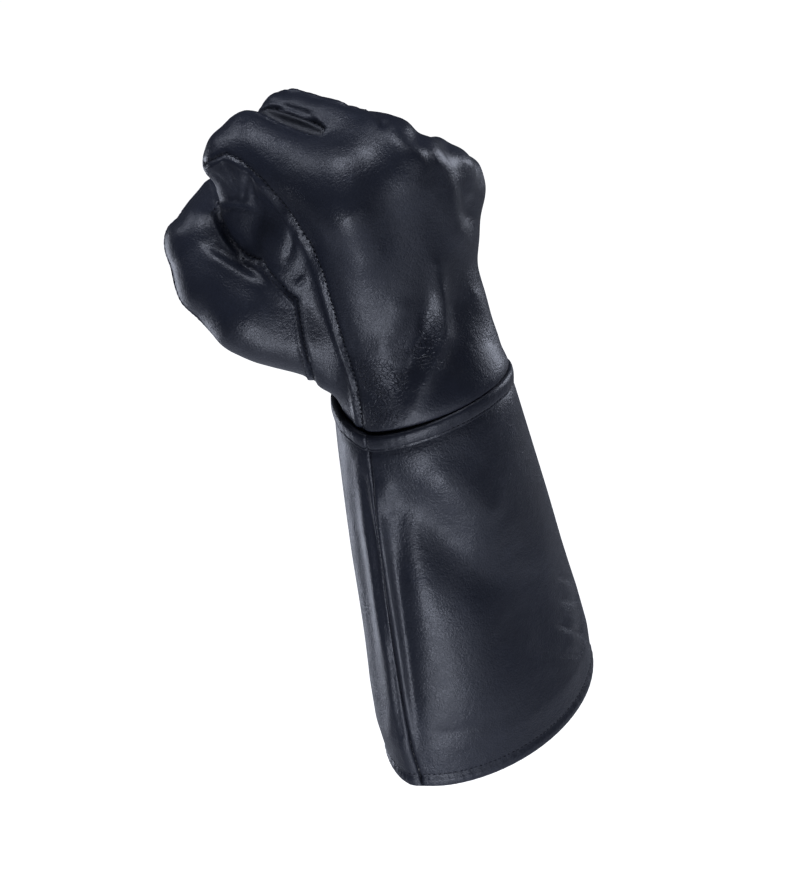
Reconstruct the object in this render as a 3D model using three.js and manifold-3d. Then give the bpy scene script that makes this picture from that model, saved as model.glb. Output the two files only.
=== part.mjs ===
// Gauntlet glove for the right hand, shaped as a closed fist with a flared cuff.
// Millimetres, +Z up the forearm to the knuckles, -Y the back of the hand, -X the thumb side.
// The origin is the middle of the wrist band.
import * as THREE from "three";
import Module from "manifold-3d";

const WALL = 1.6;
const GAP = 0.3;
const CELL = 7.2;
const THUMB_CELL = 6.4;
const PROJECT_STEPS = 4;
const HALF = 0.5;
const FULL_TURN = Math.PI * 2;

// The wrist band lies in a plane that rises to the back of the hand.
const BAND_SLOPE_X = -0.07;
const BAND_SLOPE_Y = -0.36;
const BAND_HALF_X = 39.5;
const BAND_HALF_Y = 37.5;
const BAND_HEIGHT = 6.0;
const BAND_THICK = 2.4;
const BAND_STEPS = 40;

// The hand leather ends inside the band, this far below its middle.
const TUCK_DEPTH = 7.0;

// Digits, knuckle to tip: knuckle place, bone lengths, angles from +Z towards +Y, turn and radii.
const DIGITS = [
  { name: "index", knuckle: [-21, 7, 105], lengths: [46, 27, 17], tilts: [82, 181, 201],
    turn: -2, radii: [15, 13.4, 12, 11], root: [-13, 6, 24] },
  { name: "middle", knuckle: [-1.5, -5, 110], lengths: [50, 31, 18], tilts: [83, 180, 228],
    turn: 0, radii: [15.5, 11.8, 9.8, 9], root: [-3, 0, 24] },
  { name: "ring", knuckle: [15, -5, 96.5], lengths: [46, 30, 17], tilts: [85, 180, 228],
    turn: 0, radii: [15, 11, 9.5, 8.8], root: [7, 0, 24] },
  { name: "little", knuckle: [28, -2, 81.5], lengths: [38, 22, 15], tilts: [82, 178, 226],
    turn: 0, radii: [13, 10, 9, 8.2], root: [15, 3, 24] },
];
const PALM_BONE_RADIUS = 20;
const BLEND_BONE = 12;
const BLEND_KNUCKLE = 14;
const BLEND_SIDE = 3;
const BLEND_TIP = 1.2;
const BLEND_THUMB = 8;

// Thumb joints from its root to its tip, with the radius at each.
const THUMB = [
  { at: [-20, 14, 24], radius: 15 },
  { at: [-38, 47, 51.5], radius: 17.5 },
  { at: [-33, 70, 71.5], radius: 15.6 },
  { at: [-12, 76, 75], radius: 12 },
];

// Pads of the palm: ends, radii and how softly each one joins the hand.
const PADS = [
  { name: "heel", from: [16, 12, 22], to: [24, 24, 56], radii: [17, 15], blend: 12 },
  { name: "knuckle_pad", from: [-22, 24, 96], to: [-22, 40, 98], radii: [11, 8], blend: 8 },
];
const WEB = { from: [-29, 34, 46], to: [-26, 32, 80], radii: [17, 12], blend: 12 };

// Wrist part of the hand leather: two elliptic sections.
const WRIST_LOW = { z: -34, halfX: 35.5, halfY: 33, x: 0, y: 0 };
const WRIST_HIGH = { z: 26, halfX: 33, halfY: 27, x: 0, y: 2 };

// The thumb is sewn on in a plane across its first bone.
const THUMB_SEAM_SHARE = 0.53;
const THUMB_SEAM_NORMAL = [-18, 33, 12];
const THUMB_REACH = 7.0;

// Outline of the palm side seen from the thumb side, at four places across the hand.
const PALM_OUTLINE = [
  { x: -80, y: [0, -2, -1, 3, 7, 12, 20, 33, 45, 55, 62, 63, 60, 54],
    z: [-60, 7, 34, 61, 80, 91, 101, 112, 116, 115, 108, 98, 80, 64] },
  { x: -14, y: [0, -2, -1, 3, 7, 12, 20, 33, 45, 53, 58, 58, 56, 52],
    z: [-60, 7, 34, 61, 80, 91, 101, 110, 113, 112, 106, 96, 80, 66] },
  { x: 12, y: [0, -2, -2, -1, 2, 6, 13, 22, 32, 38, 42, 42, 40, 38],
    z: [-60, 6, 30, 56, 76, 88, 98, 104, 106, 105, 99, 90, 76, 62] },
  { x: 80, y: [0, -2, -2, -2, -1, 2, 7, 14, 23, 28, 32, 32, 31, 30],
    z: [-60, 4, 22, 42, 58, 68, 76, 81, 84, 83, 78, 70, 58, 46] },
];
const PALM_BOTTOM_Z = -60;

// Side strips between the fingers: half width and how far out from the knuckle each begins.
const FOURCHETTES = [
  { name: "fourchette_index_middle", between: [0, 1], halfWidth: 3.0, start: 20 },
  { name: "fourchette_middle_ring", between: [1, 2], halfWidth: 2.6, start: 22 },
  { name: "fourchette_ring_little", between: [2, 3], halfWidth: 2.6, start: 18 },
];

// Cuff sections from the band down, each at a share of the cuff's length: half sizes, middle and how
// sharp the side corners are.
const CUFF_LENGTH = 153;
const CUFF_TABLE = [
  { down: 0, halfX: 38.0, halfY: 36.0, x: 0, y: 0, corner: 1.0 },
  { down: 0.091503, halfX: 39.2, halfY: 35.4, x: 0.2, y: -0.8, corner: 1.02 },
  { down: 0.222222, halfX: 42.4, halfY: 34.8, x: 0.6, y: -2.2, corner: 1.06 },
  { down: 0.392157, halfX: 46.6, halfY: 35.0, x: 1.4, y: -4.0, corner: 1.1 },
  { down: 0.575163, halfX: 50.8, halfY: 35.6, x: 2.2, y: -5.8, corner: 1.14 },
  { down: 0.758170, halfX: 54.4, halfY: 36.4, x: 2.9, y: -7.4, corner: 1.16 },
  { down: 0.954248, halfX: 57.4, halfY: 37.0, x: 3.5, y: -8.8, corner: 1.18 },
  { down: 1, halfX: 58.0, halfY: 37.0, x: 3.6, y: -9.0, corner: 1.18 },
];
const CUFF_ROWS = CUFF_TABLE.map((row) => ({ ...row, z: -row.down * CUFF_LENGTH }));
const CUFF_STEPS_DOWN = 14;
const CUFF_STEPS_AROUND = 22;
const CUFF_WALL = 1.5;
const HEM_HEIGHT = 5.5;
const HEM_EXTRA = 1.0;

// Soft folds of the cuff: degrees from +X towards +Y, place and height as shares of the cuff's length,
// width in degrees and depth (inwards is less than 0).
const CUFF_FOLDS = [
  { angle: 196, down: 0.392157, wide: 9, high: 0.392157, depth: -2.4 },
  { angle: 186, down: 0.522876, wide: 6, high: 0.457516, depth: 1.2 },
  { angle: 162, down: 0.457516, wide: 10, high: 0.392157, depth: -1.8 },
  { angle: 225, down: 0.326797, wide: 16, high: 0.169935, depth: -2.2 },
  { angle: 262, down: 0.555556, wide: 18, high: 0.196078, depth: -2.0 },
  { angle: 300, down: 0.653595, wide: 20, high: 0.169935, depth: -1.6 },
  { angle: 120, down: 0.620915, wide: 22, high: 0.196078, depth: -2.2 },
  { angle: 60, down: 0.457516, wide: 18, high: 0.222222, depth: -1.8 },
];

const LEATHER_COLOUR = "#2b2e3a";
const BAND_COLOUR = "#23262f";
const STRIP_COLOUR = "#1f222b";
const LEATHER_ROUGHNESS = 0.42;

const vec = (values) => new THREE.Vector3(values[0], values[1], values[2]);
const radians = (degrees) => (degrees * Math.PI) / 180;
const bandHeight = (x, y) => BAND_SLOPE_X * x + BAND_SLOPE_Y * y;

// Joins two distances with a soft fillet.
function blend(first, second, softness) {
  const share = Math.min(1, Math.max(0, HALF + (HALF * (second - first)) / softness));
  return second + (first - second) * share - softness * share * (1 - share);
}

// Distance to a bone that tapers from one radius to the other.
function boneDistance(point, from, to, radiusFrom, radiusTo) {
  const dx = to.x - from.x;
  const dy = to.y - from.y;
  const dz = to.z - from.z;
  const px = point[0] - from.x;
  const py = point[1] - from.y;
  const pz = point[2] - from.z;
  const along = (px * dx + py * dy + pz * dz) / (dx * dx + dy * dy + dz * dz);
  const share = Math.min(1, Math.max(0, along));
  const distance = Math.hypot(px - dx * share, py - dy * share, pz - dz * share);
  return distance - (radiusFrom + (radiusTo - radiusFrom) * share);
}

// Distance to the elliptic wrist part.
function wristDistance(point) {
  const share = Math.min(1, Math.max(0, (point[2] - WRIST_LOW.z) / (WRIST_HIGH.z - WRIST_LOW.z)));
  const between = (low, high) => low + (high - low) * share;
  const halfX = between(WRIST_LOW.halfX, WRIST_HIGH.halfX);
  const halfY = between(WRIST_LOW.halfY, WRIST_HIGH.halfY);
  const x = (point[0] - between(WRIST_LOW.x, WRIST_HIGH.x)) / halfX;
  const y = (point[1] - between(WRIST_LOW.y, WRIST_HIGH.y)) / halfY;
  const side = (Math.hypot(x, y) - 1) * Math.min(halfX, halfY);
  const end = Math.max(WRIST_LOW.z - point[2], point[2] - WRIST_HIGH.z);
  return end > 0 ? Math.hypot(Math.max(side, 0), end) : Math.max(side, end);
}

// Joint places of a digit, from its knuckle to its tip.
function digitJoints(digit) {
  const turn = radians(digit.turn);
  const forward = new THREE.Vector3(Math.sin(turn), Math.cos(turn), 0);
  const joints = [vec(digit.knuckle)];
  for (let bone = 0; bone < digit.lengths.length; bone += 1) {
    const tilt = radians(digit.tilts[bone]);
    const step = forward.clone().multiplyScalar(Math.sin(tilt));
    step.z = Math.cos(tilt);
    joints.push(joints[bone].clone().addScaledVector(step, digit.lengths[bone]));
  }
  return joints;
}

const joints = DIGITS.map(digitJoints);
const thumbJoints = THUMB.map((joint) => vec(joint.at));
const rootPoints = DIGITS.map((digit) => vec(digit.root));

// Distance to the hand with its fingers, without the thumb, and with or without the web beside it.
function fingersDistance(point, withWeb) {
  let hand = wristDistance(point);
  DIGITS.forEach((digit, i) => {
    const bone = boneDistance(point, rootPoints[i], joints[i][0], PALM_BONE_RADIUS, digit.radii[0]);
    hand = blend(hand, bone, BLEND_BONE);
  });
  let row = Infinity;
  DIGITS.forEach((digit, i) => {
    const bone = boneDistance(point, joints[i][0], joints[i][1], digit.radii[0], digit.radii[1]);
    row = row === Infinity ? bone : blend(row, bone, BLEND_SIDE);
  });
  hand = blend(hand, row, BLEND_KNUCKLE);
  for (const pad of PADS) {
    const distance = boneDistance(point, vec(pad.from), vec(pad.to), pad.radii[0], pad.radii[1]);
    hand = blend(hand, distance, pad.blend);
  }
  if (withWeb) {
    const web = boneDistance(point, vec(WEB.from), vec(WEB.to), WEB.radii[0], WEB.radii[1]);
    hand = blend(hand, web, WEB.blend);
  }
  DIGITS.forEach((digit, i) => {
    const middle = boneDistance(point, joints[i][1], joints[i][2], digit.radii[1], digit.radii[2]);
    const end = boneDistance(point, joints[i][2], joints[i][3], digit.radii[2], digit.radii[3]);
    hand = blend(hand, blend(middle, end, 2 * BLEND_TIP), BLEND_TIP);
  });
  return hand;
}

// Distance to one bone of the thumb.
function thumbBone(point, bone) {
  const next = bone + 1;
  const radiusFrom = THUMB[bone].radius;
  return boneDistance(point, thumbJoints[bone], thumbJoints[next], radiusFrom, THUMB[next].radius);
}

// Distance to the whole thumb.
function thumbDistance(point) {
  const root = blend(thumbBone(point, 0), thumbBone(point, 1), 2 * BLEND_TIP);
  return blend(root, thumbBone(point, 2), 2 * BLEND_TIP);
}

// Distance to the hand with its fingers and thumb, one hollow where they press together.
function handDistance(point) {
  const hand = blend(fingersDistance(point, true), thumbBone(point, 0), BLEND_THUMB);
  const root = blend(hand, thumbBone(point, 1), BLEND_SIDE);
  return blend(root, thumbBone(point, 2), BLEND_TIP);
}

// Sets single stray corners of a cell to the inside, so that every edge has two faces.
function settleCorners(values, size) {
  const at = (i, j, k) => i + size[0] * (j + size[1] * k);
  const axes = [[1, 0, 0], [0, 1, 0], [0, 0, 1]];
  let changed = true;
  while (changed) {
    changed = false;
    for (let k = 0; k < size[2] - 1; k += 1) {
      for (let j = 0; j < size[1] - 1; j += 1) {
        for (let i = 0; i < size[0] - 1; i += 1) {
          for (let axis = 0; axis < axes.length; axis += 1) {
            const u = axes[(axis + 1) % 3];
            const v = axes[(axis + 2) % 3];
            const corners = [
              at(i, j, k),
              at(i + u[0], j + u[1], k + u[2]),
              at(i + u[0] + v[0], j + u[1] + v[1], k + u[2] + v[2]),
              at(i + v[0], j + v[1], k + v[2]),
            ];
            const inside = corners.map((corner) => values[corner] < 0);
            if (inside[0] === inside[2] && inside[1] === inside[3] && inside[0] !== inside[1]) {
              const outer = corners.filter((corner) => values[corner] >= 0);
              const nearest = values[outer[0]] < values[outer[1]] ? outer[0] : outer[1];
              values[nearest] = -1e-3;
              changed = true;
            }
          }
        }
      }
    }
  }
}

// Skin of a distance field at one level, as points and triangles on an even grid.
function skin(distance, level, low, high, cell) {
  const size = low.map((value, axis) => Math.ceil((high[axis] - value) / cell) + 1);
  const at = (i, j, k) => i + size[0] * (j + size[1] * k);
  const values = new Float64Array(size[0] * size[1] * size[2]);
  for (let k = 0; k < size[2]; k += 1) {
    for (let j = 0; j < size[1]; j += 1) {
      for (let i = 0; i < size[0]; i += 1) {
        const point = [low[0] + i * cell, low[1] + j * cell, low[2] + k * cell];
        values[at(i, j, k)] = distance(point) - level;
      }
    }
  }
  settleCorners(values, size);
  const points = [];
  const pointOf = new Map();
  const offsets = [];
  for (let corner = 0; corner < 8; corner += 1) {
    offsets.push([corner & 1, (corner >> 1) & 1, (corner >> 2) & 1]);
  }
  for (let k = 0; k < size[2] - 1; k += 1) {
    for (let j = 0; j < size[1] - 1; j += 1) {
      for (let i = 0; i < size[0] - 1; i += 1) {
        const corner = offsets.map((o) => values[at(i + o[0], j + o[1], k + o[2])]);
        const crossings = [];
        for (let a = 0; a < 8; a += 1) {
          for (let bit = 0; bit < 3; bit += 1) {
            const b = a | (1 << bit);
            if (b !== a && corner[a] < 0 !== corner[b] < 0) {
              const share = corner[a] / (corner[a] - corner[b]);
              crossings.push(offsets[a].map((o, axis) => o + (offsets[b][axis] - o) * share));
            }
          }
        }
        if (crossings.length > 0) {
          const middle = [0, 1, 2].map((axis) => {
            const sum = crossings.reduce((total, crossing) => total + crossing[axis], 0);
            return sum / crossings.length;
          });
          pointOf.set(at(i, j, k), points.length);
          const cellLow = [low[0] + i * cell, low[1] + j * cell, low[2] + k * cell];
          points.push(toLevel(distance, level, cellLow, cell, middle));
        }
      }
    }
  }
  const triangles = [];
  const axes = [[1, 0, 0], [0, 1, 0], [0, 0, 1]];
  for (let k = 1; k < size[2] - 1; k += 1) {
    for (let j = 1; j < size[1] - 1; j += 1) {
      for (let i = 1; i < size[0] - 1; i += 1) {
        for (let axis = 0; axis < 3; axis += 1) {
          const a = axes[axis];
          const here = values[at(i, j, k)];
          const there = values[at(i + a[0], j + a[1], k + a[2])];
          if (here < 0 !== there < 0) {
            const u = axes[(axis + 1) % 3];
            const v = axes[(axis + 2) % 3];
            const ring = [
              pointOf.get(at(i - u[0] - v[0], j - u[1] - v[1], k - u[2] - v[2])),
              pointOf.get(at(i - v[0], j - v[1], k - v[2])),
              pointOf.get(at(i, j, k)),
              pointOf.get(at(i - u[0], j - u[1], k - u[2])),
            ];
            if (here >= 0) {
              ring.reverse();
            }
            triangles.push([ring[0], ring[1], ring[2]], [ring[0], ring[2], ring[3]]);
          }
        }
      }
    }
  }
  return { points, triangles };
}

// Moves a point of a cell on to the level, and keeps it inside its cell.
function toLevel(distance, level, cellLow, cell, middle) {
  const point = middle.map((share, axis) => cellLow[axis] + share * cell);
  const margin = cell * 0.06;
  const probe = 0.05;
  for (let step = 0; step < PROJECT_STEPS; step += 1) {
    const value = distance(point) - level;
    const slope = [0, 1, 2].map((axis) => {
      const ahead = point.slice();
      const behind = point.slice();
      ahead[axis] += probe;
      behind[axis] -= probe;
      return (distance(ahead) - distance(behind)) / (2 * probe);
    });
    const steepness = slope.reduce((total, part) => total + part * part, 0);
    if (steepness > 1e-4) {
      for (let axis = 0; axis < 3; axis += 1) {
        const moved = point[axis] - (value * slope[axis]) / steepness;
        const least = cellLow[axis] + margin;
        const most = cellLow[axis] + cell - margin;
        point[axis] = Math.min(most, Math.max(least, moved));
      }
    }
  }
  return point;
}

const wasm = await Module();
wasm.setup();

// A closed solid from points and triangles.
function solid(shape) {
  const vertProperties = new Float32Array(shape.points.flat());
  const triVerts = new Uint32Array(shape.triangles.flat());
  return new wasm.Manifold(new wasm.Mesh({ numProp: 3, vertProperties, triVerts }));
}

// Faces that fill a flat ring and turn the same way as the ring.
function capFaces(flat) {
  const ringArea = THREE.ShapeUtils.area(flat);
  return THREE.ShapeUtils.triangulateShape(flat.slice(), []).map((face) => {
    const faceArea = THREE.ShapeUtils.area(face.map((corner) => flat[corner]));
    return faceArea * ringArea < 0 ? [face[0], face[2], face[1]] : face;
  });
}

// A closed solid between rings of the same number of points.
function loft(rings) {
  const count = rings[0].length;
  const points = rings.flat();
  const triangles = [];
  for (let ring = 0; ring < rings.length - 1; ring += 1) {
    for (let i = 0; i < count; i += 1) {
      const next = (i + 1) % count;
      const a = ring * count + i;
      const b = ring * count + next;
      const c = (ring + 1) * count + next;
      const d = (ring + 1) * count + i;
      triangles.push([a, b, c], [a, c, d]);
    }
  }
  const ends = [rings[0], rings[rings.length - 1]];
  ends.forEach((ring, side) => {
    const flat = ring.map((point) => new THREE.Vector2(point[1], point[2]));
    const base = side === 0 ? 0 : (rings.length - 1) * count;
    for (const face of capFaces(flat)) {
      const facing = side === 0 ? [face[0], face[2], face[1]] : face;
      triangles.push(facing.map((corner) => corner + base));
    }
  });
  return { points, triangles };
}

// Turns every triangle over when a shape is inside out.
function facingOut(shape) {
  let volume = 0;
  for (const [a, b, c] of shape.triangles) {
    const cross = vec(shape.points[b]).cross(vec(shape.points[c]));
    volume += vec(shape.points[a]).dot(cross);
  }
  if (volume > 0) {
    return shape;
  }
  return { points: shape.points, triangles: shape.triangles.map(([a, b, c]) => [a, c, b]) };
}

// The palm side as a solid, made larger or smaller by a margin.
function palmRegion(margin) {
  const rings = PALM_OUTLINE.map((row) => {
    const line = row.y.map((y, i) => new THREE.Vector2(y, row.z[i]));
    const moved = line.map((point, i) => {
      const before = line[Math.max(0, i - 1)];
      const after = line[Math.min(line.length - 1, i + 1)];
      const along = after.clone().sub(before).normalize();
      return [row.x, point.x - along.y * margin, point.y + along.x * margin];
    });
    const last = moved[moved.length - 1];
    moved.push([row.x, last[1], PALM_BOTTOM_Z]);
    return moved;
  });
  return solid(facingOut(loft(rings)));
}

// A strip between two fingers as a solid, made wider by a margin.
function fourchetteRegion(strip, margin) {
  const [first, second] = strip.between;
  const start = joints[first][0].clone().add(joints[second][0]).multiplyScalar(HALF);
  const end = joints[first][1].clone().add(joints[second][1]).multiplyScalar(HALF);
  const along = end.clone().sub(start);
  along.z = 0;
  along.normalize();
  const across = new THREE.Vector3(along.y, -along.x, 0);
  const from = start.clone().addScaledVector(along, strip.start - margin);
  const half = strip.halfWidth + margin;
  const reach = 60;
  const corners = [
    from.clone().addScaledVector(across, -half * HALF),
    from.clone().addScaledVector(across, half * HALF),
    from.clone().addScaledVector(along, half * 2).addScaledVector(across, half),
    from.clone().addScaledVector(along, reach).addScaledVector(across, half),
    from.clone().addScaledVector(along, reach).addScaledVector(across, -half),
    from.clone().addScaledVector(along, half * 2).addScaledVector(across, -half),
  ];
  const points = [];
  for (const z of [joints[first][2].z - 20, 160]) {
    for (const corner of corners) {
      points.push([corner.x, corner.y, z]);
    }
  }
  const count = corners.length;
  const triangles = [];
  for (let i = 0; i < count; i += 1) {
    const next = (i + 1) % count;
    triangles.push([i, next, count + next], [i, count + next, count + i]);
  }
  for (let i = 1; i < count - 1; i += 1) {
    triangles.push([0, i + 1, i], [count, count + i, count + i + 1]);
  }
  return solid(facingOut({ points, triangles }));
}

// Everything on the far side of a plane.
function beyond(at, direction, margin) {
  const normal = direction.clone().normalize();
  const helper = Math.abs(normal.z) < 0.9 ? new THREE.Vector3(0, 0, 1) : new THREE.Vector3(1, 0, 0);
  const sideways = new THREE.Vector3().crossVectors(helper, normal).normalize();
  const upwards = new THREE.Vector3().crossVectors(normal, sideways);
  const reach = 400;
  const points = [];
  for (const depth of [margin, reach]) {
    for (const [u, v] of [[-1, -1], [1, -1], [1, 1], [-1, 1]]) {
      const corner = at.clone().addScaledVector(normal, depth);
      corner.addScaledVector(sideways, u * reach).addScaledVector(upwards, v * reach);
      points.push(corner.toArray());
    }
  }
  const triangles = [
    [0, 2, 1], [0, 3, 2], [4, 5, 6], [4, 6, 7], [0, 1, 5], [0, 5, 4],
    [1, 2, 6], [1, 6, 5], [2, 3, 7], [2, 7, 6], [3, 0, 4], [3, 4, 7],
  ];
  return solid(facingOut({ points, triangles }));
}

// The largest piece of a solid.
function largest(body) {
  const pieces = body.decompose();
  return pieces.reduce((best, piece) => (piece.volume() > best.volume() ? piece : best));
}

const HAND_LOW = [-76, -46, -46];
const HAND_HIGH = [66, 104, 140];

const wristNormal = new THREE.Vector3(BAND_SLOPE_X, BAND_SLOPE_Y, -1);
const wristCut = beyond(new THREE.Vector3(0, 0, -TUCK_DEPTH), wristNormal, 0);

const handOutside = solid(facingOut(skin(handDistance, 0, HAND_LOW, HAND_HIGH, CELL)));
const handInside = solid(facingOut(skin(handDistance, -WALL, HAND_LOW, HAND_HIGH, CELL)));
const handShell = largest(handOutside).subtract(handInside).subtract(wristCut);
const thumbAt = thumbJoints[0].clone().lerp(thumbJoints[1], THUMB_SEAM_SHARE);
const thumbNormal = vec(THUMB_SEAM_NORMAL);

// Half of how much nearer a point is to the hand than to the thumb.
function thumbShare(point) {
  const apart = (thumbDistance(point) - fingersDistance(point, false)) * HALF;
  return Math.max(apart, thumbDistance(point) - THUMB_REACH);
}

// The part of space that the thumb's leather fills, made larger by a margin.
function thumbRegion(margin) {
  const around = solid(facingOut(skin(thumbShare, margin, HAND_LOW, HAND_HIGH, THUMB_CELL)));
  return around.intersect(beyond(thumbAt, thumbNormal, -margin));
}

const thumb = handShell.intersect(thumbRegion(0));
const handOnly = handShell.subtract(thumbRegion(GAP));

const palmIn = palmRegion(-GAP * HALF);
const palmOut = palmRegion(GAP * HALF);
const palm = handOnly.intersect(palmIn);
let back = handOnly.subtract(palmOut);
const strips = FOURCHETTES.map((strip) => {
  const piece = largest(back.intersect(fourchetteRegion(strip, 0)));
  return { name: strip.name, piece };
});
FOURCHETTES.forEach((strip) => {
  back = back.subtract(fourchetteRegion(strip, GAP));
});

// A named mesh with its own leather material.
function leatherMesh(name, geometry, colour) {
  const material = new THREE.MeshStandardMaterial({ color: colour, roughness: LEATHER_ROUGHNESS });
  material.name = name + "_leather";
  const mesh = new THREE.Mesh(geometry, material);
  mesh.name = name;
  return mesh;
}

// Geometry of a solid made by joins and cuts.
function solidGeometry(body) {
  const mesh = body.getMesh();
  const geometry = new THREE.BufferGeometry();
  const positions = new Float32Array(mesh.numVert * 3);
  for (let i = 0; i < mesh.numVert; i += 1) {
    for (let axis = 0; axis < 3; axis += 1) {
      positions[3 * i + axis] = mesh.vertProperties[mesh.numProp * i + axis];
    }
  }
  geometry.setAttribute("position", new THREE.BufferAttribute(positions, 3));
  geometry.setIndex(new THREE.BufferAttribute(mesh.triVerts, 1));
  geometry.computeVertexNormals();
  return geometry;
}

// Geometry of a shape made of points and triangles.
function shapeGeometry(shape) {
  const out = facingOut(shape);
  const geometry = new THREE.BufferGeometry();
  const positions = new Float32Array(out.points.flat());
  geometry.setAttribute("position", new THREE.BufferAttribute(positions, 3));
  geometry.setIndex(out.triangles.flat());
  geometry.computeVertexNormals();
  return geometry;
}

// A value of the cuff table at a height.
function cuffValue(column, z) {
  let row = 0;
  while (row < CUFF_ROWS.length - 2 && z < CUFF_ROWS[row + 1].z) {
    row += 1;
  }
  const upper = CUFF_ROWS[row];
  const lower = CUFF_ROWS[row + 1];
  const share = Math.min(1, Math.max(0, (z - upper.z) / (lower.z - upper.z)));
  return upper[column] + (lower[column] - upper[column]) * share;
}

// Depth of the folds at one place of the cuff.
function foldDepth(degrees, z) {
  let depth = 0;
  for (const fold of CUFF_FOLDS) {
    let apart = Math.abs(degrees - fold.angle) % 360;
    apart = Math.min(apart, 360 - apart);
    const around = apart / fold.wide;
    const along = (z / CUFF_LENGTH + fold.down) / fold.high;
    depth += fold.depth * Math.exp(-around * around - along * along);
  }
  return depth;
}

// A point of the cuff, moved out by an offset.
function cuffPoint(degrees, z, offset) {
  const angle = radians(degrees);
  const halfX = cuffValue("halfX", z);
  const halfY = cuffValue("halfY", z);
  const corner = cuffValue("corner", z);
  const sine = Math.sin(angle);
  const flat = Math.sign(sine) * Math.pow(Math.abs(sine), corner);
  const normal = new THREE.Vector2(Math.cos(angle) / halfX, sine / halfY).normalize();
  const out = offset + foldDepth(degrees, z);
  const x = cuffValue("x", z) + halfX * Math.cos(angle) + normal.x * out;
  const y = cuffValue("y", z) + halfY * flat + normal.y * out;
  return [x, y];
}

// A point on the inner edge of the wrist band.
function bandRing(angle) {
  const x = (BAND_HALF_X - BAND_THICK) * Math.cos(angle);
  const y = (BAND_HALF_Y - BAND_THICK) * Math.sin(angle);
  return [x, y];
}

// One panel of the cuff between two side seams, as a closed wall with a turned hem.
function cuffPanel(fromDegrees, toDegrees) {
  const bottom = CUFF_ROWS[CUFF_ROWS.length - 1].z;
  const hemTop = bottom + HEM_HEIGHT;
  const rows = [];
  for (let i = 0; i <= CUFF_STEPS_DOWN; i += 1) {
    rows.push({ share: i / CUFF_STEPS_DOWN, extra: 0 });
  }
  const columns = [];
  for (let i = 0; i <= CUFF_STEPS_AROUND; i += 1) {
    columns.push(fromDegrees + ((toDegrees - fromDegrees) * i) / CUFF_STEPS_AROUND);
  }
  const outer = [];
  const inner = [];
  const place = (degrees, share, offset, drop) => {
    const [bandX, bandY] = bandRing(radians(degrees));
    const top = bandHeight(bandX, bandY) - BAND_HEIGHT * HALF - GAP;
    const z = top + (hemTop - top) * share - drop;
    const [x, y] = cuffPoint(degrees, Math.min(0, z), offset);
    return [x, y, z];
  };
  for (const row of rows) {
    outer.push(columns.map((degrees) => place(degrees, row.share, 0, 0)));
    inner.push(columns.map((degrees) => place(degrees, row.share, -CUFF_WALL, 0)));
  }
  outer.push(columns.map((degrees) => place(degrees, 1, HEM_EXTRA, HEM_EXTRA * HALF)));
  outer.push(columns.map((degrees) => place(degrees, 1, HEM_EXTRA, HEM_HEIGHT - HEM_EXTRA)));
  outer.push(columns.map((degrees) => place(degrees, 1, 0, HEM_HEIGHT)));
  inner.push(columns.map((degrees) => place(degrees, 1, -CUFF_WALL, HEM_HEIGHT)));
  const points = outer.flat().concat(inner.flat());
  const wide = columns.length;
  const base = outer.length * wide;
  const triangles = [];
  const quad = (a, b, c, d) => triangles.push([a, b, c], [a, c, d]);
  for (let r = 0; r < outer.length - 1; r += 1) {
    for (let c = 0; c < wide - 1; c += 1) {
      quad(r * wide + c, (r + 1) * wide + c, (r + 1) * wide + c + 1, r * wide + c + 1);
    }
  }
  for (let r = 0; r < inner.length - 1; r += 1) {
    for (let c = 0; c < wide - 1; c += 1) {
      const a = base + r * wide + c;
      quad(a, a + 1, a + wide + 1, a + wide);
    }
  }
  const lastOuter = (outer.length - 1) * wide;
  const lastInner = base + (inner.length - 1) * wide;
  for (let c = 0; c < wide - 1; c += 1) {
    quad(c, c + 1, base + c + 1, base + c);
    quad(lastOuter + c, lastInner + c, lastInner + c + 1, lastOuter + c + 1);
  }
  const sideRing = (column) => {
    const ring = [];
    for (let r = 0; r < outer.length; r += 1) {
      ring.push(r * wide + column);
    }
    for (let r = inner.length - 1; r >= 0; r -= 1) {
      ring.push(base + r * wide + column);
    }
    return ring;
  };
  for (const column of [0, wide - 1]) {
    const ring = sideRing(column);
    const flat = ring.map((index) => {
      const [x, y, z] = points[index];
      const out = Math.hypot(x, y);
      return new THREE.Vector2(out, z);
    });
    for (const face of capFaces(flat)) {
      const [a, b, c] = face.map((corner) => ring[corner]);
      triangles.push(column === 0 ? [a, c, b] : [a, b, c]);
    }
  }
  return { points, triangles };
}

// The wrist band: a rounded strip that goes round the wrist in its sloping plane.
function wristBand() {
  const section = [
    [0, -HALF], [0.7, -HALF * 0.85], [1, -HALF * 0.4], [1, HALF * 0.4],
    [0.7, HALF * 0.85], [0, HALF], [0, HALF * 0.4], [0, -HALF * 0.4],
  ];
  const points = [];
  for (let i = 0; i < BAND_STEPS; i += 1) {
    const angle = (FULL_TURN * i) / BAND_STEPS;
    const normal = new THREE.Vector2(Math.cos(angle) / BAND_HALF_X, Math.sin(angle) / BAND_HALF_Y);
    normal.normalize();
    const [x, y] = bandRing(angle);
    for (const [out, up] of section) {
      const height = bandHeight(x, y) + up * BAND_HEIGHT;
      points.push([x + normal.x * out * BAND_THICK, y + normal.y * out * BAND_THICK, height]);
    }
  }
  const count = section.length;
  const triangles = [];
  for (let i = 0; i < BAND_STEPS; i += 1) {
    const next = (i + 1) % BAND_STEPS;
    for (let s = 0; s < count; s += 1) {
      const after = (s + 1) % count;
      const a = i * count + s;
      const b = i * count + after;
      const c = next * count + after;
      const d = next * count + s;
      triangles.push([a, b, c], [a, c, d]);
    }
  }
  return { points, triangles };
}

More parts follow.
